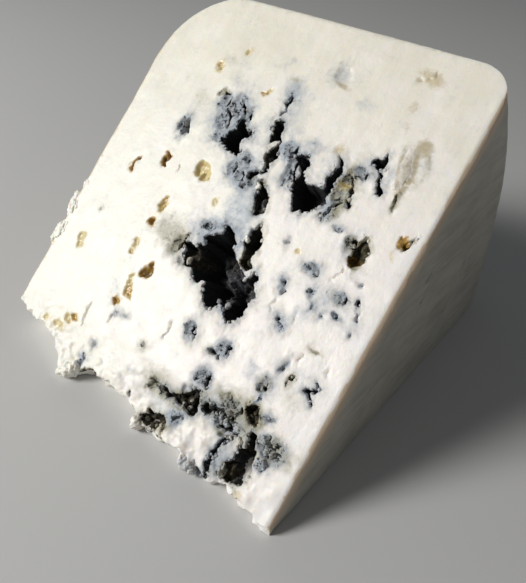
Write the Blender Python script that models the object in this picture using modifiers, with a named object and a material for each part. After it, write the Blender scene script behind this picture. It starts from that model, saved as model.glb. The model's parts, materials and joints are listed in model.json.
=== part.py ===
"""A wedge of blue cheese, one eighth of a drum, lying on its lower cut face.

Lengths are metres and +Z is up. +X runs from the thin edge out to the drum's wall, and +Y runs along the
drum's axis, from the near flat to the far flat. The drum's axis is the wedge's thin edge.

The steps follow the real thing: a drum is turned, cut twice through its axis, its thin edge is broken away,
its surfaces are made a little uneven, and then curd lumps are joined on and the mould's hollows cut out.
"""

import math
from typing import NamedTuple

import bmesh
import bpy
from mathutils import Matrix, Vector, noise

MM = 0.001

# The drum that the wedge was cut from.
DRUM_RADIUS = 95 * MM
DRUM_HEIGHT = 80 * MM
WALL_BULGE = 0.8 * MM
NEAR_RIM_RADIUS = 7 * MM
FAR_RIM_RADIUS = 13 * MM
TURN_STEPS = 128
RIM_STEPS = 8
WALL_STEPS = 12

# The two cuts, and the thin edge that crumbled away towards the far flat.
WEDGE_ANGLE = math.radians(45)
TIP_THICKNESS = 1.4 * MM
TIP_LOSS_NEAR = -1.0 * MM
TIP_LOSS_FAR = 8.6 * MM
TIP_UNDERCUT = 0.55

# How uneven the surface is, and how finely it is meshed.
SURFACE_WAVE = 0.35 * MM
SURFACE_WAVELENGTH = 11 * MM
VOXEL = 0.9 * MM
BODY_TRIANGLES = 3600
BOTTOM_ALLOWANCE = 0.8 * MM

# Hollows and lumps are rough icospheres, and the larger ones are more finely meshed.
LARGE_SPOT = 7.5
HOLLOW_ROUGHNESS = 0.48
LUMP_ROUGHNESS = 0.55
ROUGH_FREQUENCY = 1.7


class Spot(NamedTuple):
    """A hollow or a lump on a cut face, in millimetres along the face's radius, across it and through it."""

    along: float
    across: float
    length: float
    width: float
    depth: float
    turn: float = 0.0
    lift: float = 0.0


MOULD_HOLLOWS = (
    Spot(36.5, 34.5, 14.0, 14.0, 9.0),
    Spot(40.5, 39.5, 11.0, 9.0, 8.0),
    Spot(37.0, 46.0, 4.5, 8.0, 3.0),
    Spot(45.5, 32.6, 10.5, 3.4, 5.0),
    Spot(54.0, 35.7, 6.5, 3.0, 3.2, 12),
    Spot(66.0, 39.8, 12.0, 3.2, 5.0, -12),
    Spot(64.5, 48.6, 8.0, 5.2, 5.0, -18),
    Spot(69.0, 52.5, 8.0, 8.0, 2.2),
    Spot(59.6, 27.2, 8.5, 8.0, 7.0),
    Spot(64.0, 31.6, 7.0, 3.4, 4.0, 25),
    Spot(64.8, 23.4, 8.0, 2.4, 4.0),
    Spot(62.0, 20.6, 6.0, 3.4, 2.2),
    Spot(71.0, 16.0, 9.0, 2.6, 3.5, 10),
    Spot(63.0, 63.0, 6.0, 2.4, 2.2),
    Spot(23.4, 35.4, 4.4, 3.0, 2.6),
    Spot(23.4, 27.0, 4.4, 3.4, 2.2),
    Spot(12.5, 28.0, 9.0, 5.0, 3.6),
    Spot(11.0, 36.5, 3.2, 7.0, 2.2),
    Spot(13.2, 20.0, 5.0, 9.0, 2.8),
    Spot(14.8, 14.2, 7.0, 6.0, 3.6),
    Spot(12.4, 7.4, 3.6, 6.0, 2.2),
    Spot(7.0, 12.0, 10.0, 5.6, 5.0),
    Spot(3.8, 33.8, 5.5, 7.0, 3.4),
    Spot(1.6, 54.0, 6.5, 5.0, 4.0),
)

CURD_PITS = (
    Spot(54.5, 51.8, 4.4, 4.6, 2.0),
    Spot(42.0, 58.0, 8.0, 2.2, 1.6),
    Spot(30.0, 52.5, 4.4, 2.6, 2.0),
    Spot(23.5, 55.5, 8.0, 2.6, 1.6, 10),
    Spot(70.0, 10.0, 12.0, 4.4, 2.4, 8),
)

THIN_EDGE_LUMPS = (
    Spot(0.6, 22.2, 4.6, 4.4, 2.6, 20, -0.8),
    Spot(5.6, 26.4, 10.0, 10.5, 4.6, 10, -2.6),
    Spot(5.6, 39.0, 8.0, 8.0, 4.6, 0, -3.0),
    Spot(3.2, 59.6, 6.0, 5.6, 3.6, 30, -2.2),
    Spot(3.0, 16.2, 8.0, 3.4, 3.2, 8, -1.4),
    Spot(6.0, 49.5, 6.0, 8.0, 4.4, 0, -3.0),
    Spot(7.4, 66.0, 7.0, 9.0, 4.6, 0, -3.4),
)

FAR_FLAKES = (
    Spot(36.0, 79.0, 7.0, 5.6, 1.8, 12, -1.0),
    Spot(26.5, 79.0, 8.5, 5.8, 1.8, -8, -1.1),
)

BOTTOM_HOLLOWS = (
    Spot(30.0, 46.0, 12.0, 9.0, 6.0),
    Spot(56.0, 54.0, 9.0, 5.0, 4.5, 15),
    Spot(62.0, 24.0, 8.0, 7.0, 5.0),
    Spot(44.0, 18.0, 10.0, 3.4, 3.6),
    Spot(74.0, 40.0, 5.0, 4.0, 3.0),
)


def clear_scene() -> None:
    """Remove every object that the startup file holds."""
    for thing in list(bpy.data.objects):
        bpy.data.objects.remove(thing, do_unlink=True)


def new_collection(name: str) -> bpy.types.Collection:
    """Make a collection under the scene's own."""
    group = bpy.data.collections.new(name)
    bpy.context.scene.collection.children.link(group)
    return group


def upper_face_frame() -> Matrix:
    """Return the upper cut face's frame: X out along it, Y across it, Z out of it."""
    tilt = Matrix.Rotation(-WEDGE_ANGLE, 4, "Y")
    return Matrix.Translation((0, 0, TIP_THICKNESS)) @ tilt


def lower_face_frame() -> Matrix:
    """Return the lower cut face's frame, turned over so that Z points down and out of it."""
    return Matrix.Translation((0, DRUM_HEIGHT, 0)) @ Matrix.Rotation(math.pi, 4, "X")


def drum_half_section() -> list:
    """Return the drum's half section, from its axis at the far flat round to its axis at the near flat."""
    points = [Vector((0, DRUM_HEIGHT, 0))]
    far_centre = Vector((DRUM_RADIUS - FAR_RIM_RADIUS, DRUM_HEIGHT - FAR_RIM_RADIUS, 0))
    for step in range(RIM_STEPS + 1):
        angle = math.pi / 2 * (1 - step / RIM_STEPS)
        points.append(far_centre + FAR_RIM_RADIUS * Vector((math.cos(angle), math.sin(angle), 0)))
    wall_top = DRUM_HEIGHT - FAR_RIM_RADIUS
    for step in range(1, WALL_STEPS):
        share = step / WALL_STEPS
        out = DRUM_RADIUS + WALL_BULGE * math.sin(math.pi * share)
        points.append(Vector((out, wall_top + share * (NEAR_RIM_RADIUS - wall_top), 0)))
    near_centre = Vector((DRUM_RADIUS - NEAR_RIM_RADIUS, NEAR_RIM_RADIUS, 0))
    for step in range(RIM_STEPS + 1):
        angle = -math.pi / 2 * step / RIM_STEPS
        points.append(near_centre + NEAR_RIM_RADIUS * Vector((math.cos(angle), math.sin(angle), 0)))
    points.append(Vector((0, 0, 0)))
    return points


def turned_drum(group: bpy.types.Collection) -> bpy.types.Object:
    """Turn the half section about the Y axis."""
    points = drum_half_section()
    mesh = bpy.data.meshes.new("cheese_wedge")
    mesh.from_pydata(points, [(i, i + 1) for i in range(len(points) - 1)], [])
    drum = bpy.data.objects.new("cheese_wedge", mesh)
    group.objects.link(drum)
    screw = drum.modifiers.new("turn", "SCREW")
    screw.axis = "Y"
    screw.steps = TURN_STEPS
    screw.render_steps = TURN_STEPS
    screw.use_merge_vertices = True
    screw.merge_threshold = 0.0001 * MM
    apply_modifiers(drum)
    return drum


def apply_modifiers(thing: bpy.types.Object) -> None:
    """Replace an object's mesh by what its modifiers make of it."""
    graph = bpy.context.evaluated_depsgraph_get()
    graph.update()
    made = bpy.data.meshes.new_from_object(thing.evaluated_get(graph))
    thing.modifiers.clear()
    old = thing.data
    thing.data = made
    bpy.data.meshes.remove(old)


def slice_off(thing: bpy.types.Object, point: Vector, outward: Vector) -> None:
    """Cut away what lies on the outward side of a plane, and close the cut with one face."""
    sheet = bmesh.new()
    sheet.from_mesh(thing.data)
    everything = sheet.verts[:] + sheet.edges[:] + sheet.faces[:]
    cut = bmesh.ops.bisect_plane(
        sheet, geom=everything, dist=1e-7, plane_co=point, plane_no=outward, clear_outer=True
    )
    rim = [piece for piece in cut["geom_cut"] if isinstance(piece, bmesh.types.BMEdge)]
    bmesh.ops.contextual_create(sheet, geom=rim)
    bmesh.ops.recalc_face_normals(sheet, faces=sheet.faces[:])
    sheet.to_mesh(thing.data)
    sheet.free()


def cut_wedge(drum: bpy.types.Object) -> None:
    """Cut the drum along its two cut faces, and break its thin edge back towards the far flat."""
    frame = upper_face_frame()
    slice_off(drum, Vector((0, 0, -BOTTOM_ALLOWANCE)), Vector((0, 0, -1)))
    slice_off(drum, frame.translation, frame.to_3x3() @ Vector((0, 0, 1)))
    near = frame @ Vector((TIP_LOSS_NEAR, 0, 0))
    far = frame @ Vector((TIP_LOSS_FAR, DRUM_HEIGHT, 0))
    undercut = Vector((TIP_UNDERCUT, 0, -1))
    outward = (far - near).cross(undercut)
    if outward.x > 0:
        outward.negate()
    slice_off(drum, near, outward)


def roughen(thing: bpy.types.Object) -> None:
    """Remesh the wedge evenly, wave its surfaces a little and thin its mesh out again."""
    remesh = thing.modifiers.new("even mesh", "REMESH")
    remesh.mode = "VOXEL"
    remesh.voxel_size = VOXEL
    apply_modifiers(thing)
    waved = [
        vertex.co + SURFACE_WAVE * noise.noise(vertex.co / SURFACE_WAVELENGTH) * vertex.normal
        for vertex in thing.data.vertices
    ]
    for vertex, place in zip(thing.data.vertices, waved):
        vertex.co = place
    decimate = thing.modifiers.new("fewer triangles", "DECIMATE")
    triangles = 2 * len(thing.data.polygons)
    decimate.ratio = BODY_TRIANGLES / triangles
    apply_modifiers(thing)


def rough_lump(
    name: str, spot: Spot, frame: Matrix, roughness: float, group: bpy.types.Collection
) -> bpy.types.Object:
    """Make a rough egg of a spot's size, centred on a cut face.

    Args:
        name: Name of the new object.
        spot: Its place and size on the face.
        frame: The face's frame.
        roughness: How far its surface strays, as a share of its radius.
        group: Collection that takes it.

    Returns:
        The new object, with its place written into its mesh.
    """
    detail = 3 if max(spot.length, spot.width) > LARGE_SPOT else 2
    bpy.ops.mesh.primitive_ico_sphere_add(subdivisions=detail, radius=1.0)
    lump = bpy.context.active_object
    lump.name = name
    seed = Vector((spot.along, spot.across, spot.depth))
    for vertex in lump.data.vertices:
        stray = noise.noise(vertex.co * ROUGH_FREQUENCY + seed)
        vertex.co *= 1 + roughness * stray
    size = Matrix.Diagonal((spot.length / 2 * MM, spot.width / 2 * MM, spot.depth * MM, 1))
    turn = Matrix.Rotation(math.radians(spot.turn), 4, "Z")
    place = Matrix.Translation((spot.along * MM, spot.across * MM, spot.lift * MM))
    lump.data.transform(frame @ place @ turn @ size)
    for owner in list(lump.users_collection):
        owner.objects.unlink(lump)
    group.objects.link(lump)
    return lump


def combine(thing: bpy.types.Object, group: bpy.types.Collection, operation: str) -> None:
    """Join a collection's lumps to the wedge, or cut them out of it, in one Boolean."""
    boolean = thing.modifiers.new(operation.lower(), "BOOLEAN")
    boolean.operation = operation
    boolean.operand_type = "COLLECTION"
    boolean.collection = group
    boolean.solver = "MANIFOLD"
    apply_modifiers(thing)
    for piece in list(group.objects):
        bpy.data.objects.remove(piece, do_unlink=True)


def keep_largest_piece(thing: bpy.types.Object) -> None:
    """Drop loose scraps that the hollows cut off."""
    sheet = bmesh.new()
    sheet.from_mesh(thing.data)
    left = set(sheet.verts)
    pieces = []
    while left:
        piece = set()
        queue = [left.pop()]
        while queue:
            vertex = queue.pop()
            piece.add(vertex)
            for edge in vertex.link_edges:
                other = edge.other_vert(vertex)
                if other in left:
                    left.remove(other)
                    queue.append(other)
        pieces.append(piece)
    pieces.sort(key=len, reverse=True)
    scraps = [vertex for piece in pieces[1:] for vertex in piece]
    bmesh.ops.delete(sheet, geom=scraps, context="VERTS")
    sheet.to_mesh(thing.data)
    sheet.free()


def stand_on_origin(thing: bpy.types.Object) -> None:
    """Move the mesh so that the middle of its box's bottom is the origin."""
    low = Vector([min(vertex.co[axis] for vertex in thing.data.vertices) for axis in range(3)])
    high = Vector([max(vertex.co[axis] for vertex in thing.data.vertices) for axis in range(3)])
    middle = (low + high) / 2
    thing.data.transform(Matrix.Translation((-middle.x, -middle.y, -low.z)))


def paste_material() -> bpy.types.Material:
    """Make the ivory paste."""
    paste = bpy.data.materials.new("paste")
    paste.use_nodes = True
    shader = paste.node_tree.nodes["Principled BSDF"]
    shader.inputs["Base Color"].default_value = (0.86, 0.83, 0.70, 1.0)
    shader.inputs["Roughness"].default_value = 0.45
    shader.inputs["Metallic"].default_value = 0.0
    return paste


def main() -> None:
    """Build the wedge."""
    clear_scene()
    parts = new_collection("blue_cheese_wedge")
    cutters = new_collection("cutters")
    wedge = turned_drum(parts)
    cut_wedge(wedge)
    roughen(wedge)
    slice_off(wedge, Vector((0, 0, 0)), Vector((0, 0, -1)))

    upper = upper_face_frame()
    lower = lower_face_frame()
    for spot in THIN_EDGE_LUMPS + FAR_FLAKES:
        rough_lump("lump", spot, upper, LUMP_ROUGHNESS, cutters)
    combine(wedge, cutters, "UNION")
    for spot in MOULD_HOLLOWS + CURD_PITS:
        rough_lump("hollow", spot, upper, HOLLOW_ROUGHNESS, cutters)
    for spot in BOTTOM_HOLLOWS:
        rough_lump("hollow", spot, lower, HOLLOW_ROUGHNESS, cutters)
    combine(wedge, cutters, "DIFFERENCE")
    slice_off(wedge, Vector((0, 0, 0)), Vector((0, 0, -1)))
    keep_largest_piece(wedge)
    stand_on_origin(wedge)
    wedge.data.materials.clear()
    wedge.data.materials.append(paste_material())


main()
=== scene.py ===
"""Looks of a blue cheese wedge: ivory paste, mould-lined hollows and a crumbling thin edge.

The wedge is an eighth of a drum and lies on its lower cut face. Its sizes are in millimetres in the drum's
own frame, whose Y axis is the drum's axis and the wedge's thin edge, and whose origin is that axis's end at
the near flat. Places on a cut face are given along its radius, across it from the near flat, and out of it.
"""

import json
import logging
import math
from dataclasses import dataclass, field, replace
from enum import Enum
from typing import Iterable, Sequence

import bpy
import numpy as np
from mathutils import Matrix, Vector, noise

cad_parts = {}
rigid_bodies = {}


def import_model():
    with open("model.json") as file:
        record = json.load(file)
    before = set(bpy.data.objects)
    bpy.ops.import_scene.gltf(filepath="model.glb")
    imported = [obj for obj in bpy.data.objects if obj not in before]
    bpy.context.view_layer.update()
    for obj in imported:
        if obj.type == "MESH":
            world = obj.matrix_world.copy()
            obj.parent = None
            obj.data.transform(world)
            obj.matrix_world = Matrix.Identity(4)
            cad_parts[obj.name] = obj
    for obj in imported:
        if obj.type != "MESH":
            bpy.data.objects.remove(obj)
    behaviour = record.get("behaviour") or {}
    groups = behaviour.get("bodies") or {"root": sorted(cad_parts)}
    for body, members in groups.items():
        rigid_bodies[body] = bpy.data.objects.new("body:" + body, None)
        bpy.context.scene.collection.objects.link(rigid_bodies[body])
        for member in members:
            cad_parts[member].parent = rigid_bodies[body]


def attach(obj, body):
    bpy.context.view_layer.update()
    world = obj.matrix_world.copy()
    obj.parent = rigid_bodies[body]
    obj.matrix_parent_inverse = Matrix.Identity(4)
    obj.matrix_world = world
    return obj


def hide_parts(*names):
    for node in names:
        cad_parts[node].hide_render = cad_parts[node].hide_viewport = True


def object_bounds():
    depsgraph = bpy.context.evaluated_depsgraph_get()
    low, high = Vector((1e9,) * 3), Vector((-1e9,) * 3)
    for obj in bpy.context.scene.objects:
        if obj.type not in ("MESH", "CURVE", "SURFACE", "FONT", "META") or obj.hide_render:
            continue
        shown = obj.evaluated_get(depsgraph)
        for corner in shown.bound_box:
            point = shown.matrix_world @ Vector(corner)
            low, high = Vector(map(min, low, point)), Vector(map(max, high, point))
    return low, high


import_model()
CAD_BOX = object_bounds()

MM = 0.001
NODE = "cheese_wedge"
PHOTO_HEIGHT_PX = 583
LOG = logging.getLogger("cheese")

Colour = tuple[float, float, float]
Corner = tuple[float, float]
Row = tuple[float, ...]


class Cut(Enum):
    """The wedge's two cut faces."""

    UPPER = "upper"
    LOWER = "lower"


def ramp(values: np.ndarray, low: float, high: float) -> np.ndarray:
    """Return a smooth step from 0 at low to 1 at high."""
    share = np.clip((values - low) / (high - low), 0, 1)
    return share * share * (3 - 2 * share)


@dataclass(frozen=True)
class Spot:
    """An oval hollow, lump or shelf on a cut face, in millimetres and degrees.

    turn leans its length towards the far flat, halo is how far its colour spreads past its rim, tone runs
    from blue-black (0) to olive brown (1) in mould and from pale straw (0) to brown (1) in whey pits, and
    lift raises its centre out of the face.
    """

    along: float
    across: float
    length: float
    width: float
    depth: float
    turn: float = 0.0
    halo: float = 1.8
    tone: float = 0.0
    lift: float = 0.0

    @property
    def wall(self) -> float:
        """How far in from its rim the spot reaches most of its depth."""
        steepest = 0.22
        return max(steepest, min(self.length, self.width) / 5)

    @property
    def roughness(self) -> float:
        """How rough the spot is as a lump: flat flakes are smoothest, and crumbs are smoother than lumps."""
        largest = max(self.length, self.width)
        if self.depth < 0.08 * largest:
            return 0.10
        return 0.30 if largest < 1.8 else 0.36

    def box(self, margin: float) -> tuple[np.ndarray, np.ndarray]:
        """Return the corners of a square round the spot.

        Args:
            margin: The room left between the spot and the square.

        Returns:
            The square's corners of least and of greatest (along, across).
        """
        middle = np.array((self.along, self.across))
        reach = max(self.length, self.width) / 2 + margin
        return middle - reach, middle + reach

    def distance(self, place: np.ndarray) -> np.ndarray:
        """Return about how far places are from the spot's rim, less than 0 inside it."""
        return (oval_share(self, place) - 1.0) * math.sqrt(self.length * self.width) / 2


@dataclass(frozen=True)
class Stain:
    """A flat patch of colour on a cut face, in millimetres and degrees, with its strength from 0 to 1."""

    along: float
    across: float
    length: float
    width: float
    strength: float
    turn: float = 0.0
    tone: float = 0.0


@dataclass(frozen=True)
class Hollow:
    """A hollow with a drawn outline, whose corners are (along, across) in millimetres."""

    depth: float
    outline: tuple[Corner, ...]
    halo: float = 1.8
    tone: float = 0.0
    wall: float = 0.42

    def box(self, margin: float) -> tuple[np.ndarray, np.ndarray]:
        """Return the corners of the rectangle round the hollow, widened by a margin."""
        corners = np.array(self.outline)
        return corners.min(axis=0) - margin, corners.max(axis=0) + margin

    def distance(self, place: np.ndarray) -> np.ndarray:
        """Return how far places are from the outline, less than 0 inside it.

        Args:
            place: Points as (along, across).

        Returns:
            The distances in millimetres.
        """
        start = np.array(self.outline)
        run = np.roll(start, -1, axis=0) - start
        gap = place[:, None] - start
        share = np.clip((gap * run).sum(axis=2) / (run**2).sum(axis=1), 0, 1)
        nearest = np.sqrt(((gap - share[..., None] * run) ** 2).sum(axis=2)).min(axis=1)
        passed = (gap[..., 1] >= 0) != (gap[..., 1] >= run[:, 1])
        slope = run[:, 0] / np.where(run[:, 1] == 0, 1.0, run[:, 1])
        crossings = (passed & (gap[..., 0] < gap[..., 1] * slope)).sum(axis=1)
        return np.where(crossings % 2 == 1, -nearest, nearest)


def oval_share(oval: Spot | Stain, place: np.ndarray) -> np.ndarray:
    """Return how far places are from an oval's centre.

    Args:
        oval: The oval.
        place: Points as (along, across), and any further coordinates.

    Returns:
        The distances, with 1 at the oval's rim.
    """
    lean = math.radians(oval.turn)
    out, side = place[:, 0] - oval.along, place[:, 1] - oval.across
    first = out * math.cos(lean) + side * math.sin(lean)
    second = side * math.cos(lean) - out * math.sin(lean)
    return np.hypot(first / (oval.length / 2), second / (oval.width / 2))


def each(kind: type, *rows: Row, **shared: float) -> tuple:
    """Return one object of a kind for each row of its fields, with the fields that all of them share."""
    return tuple(kind(*row, **shared) for row in rows)


def lumps(*rows: Row) -> tuple[Spot, ...]:
    """Return lumps on the face, from rows of along, across, length, width, depth, turn and lift."""
    return tuple(Spot(*row[:-1], lift=row[-1]) for row in rows)


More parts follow.
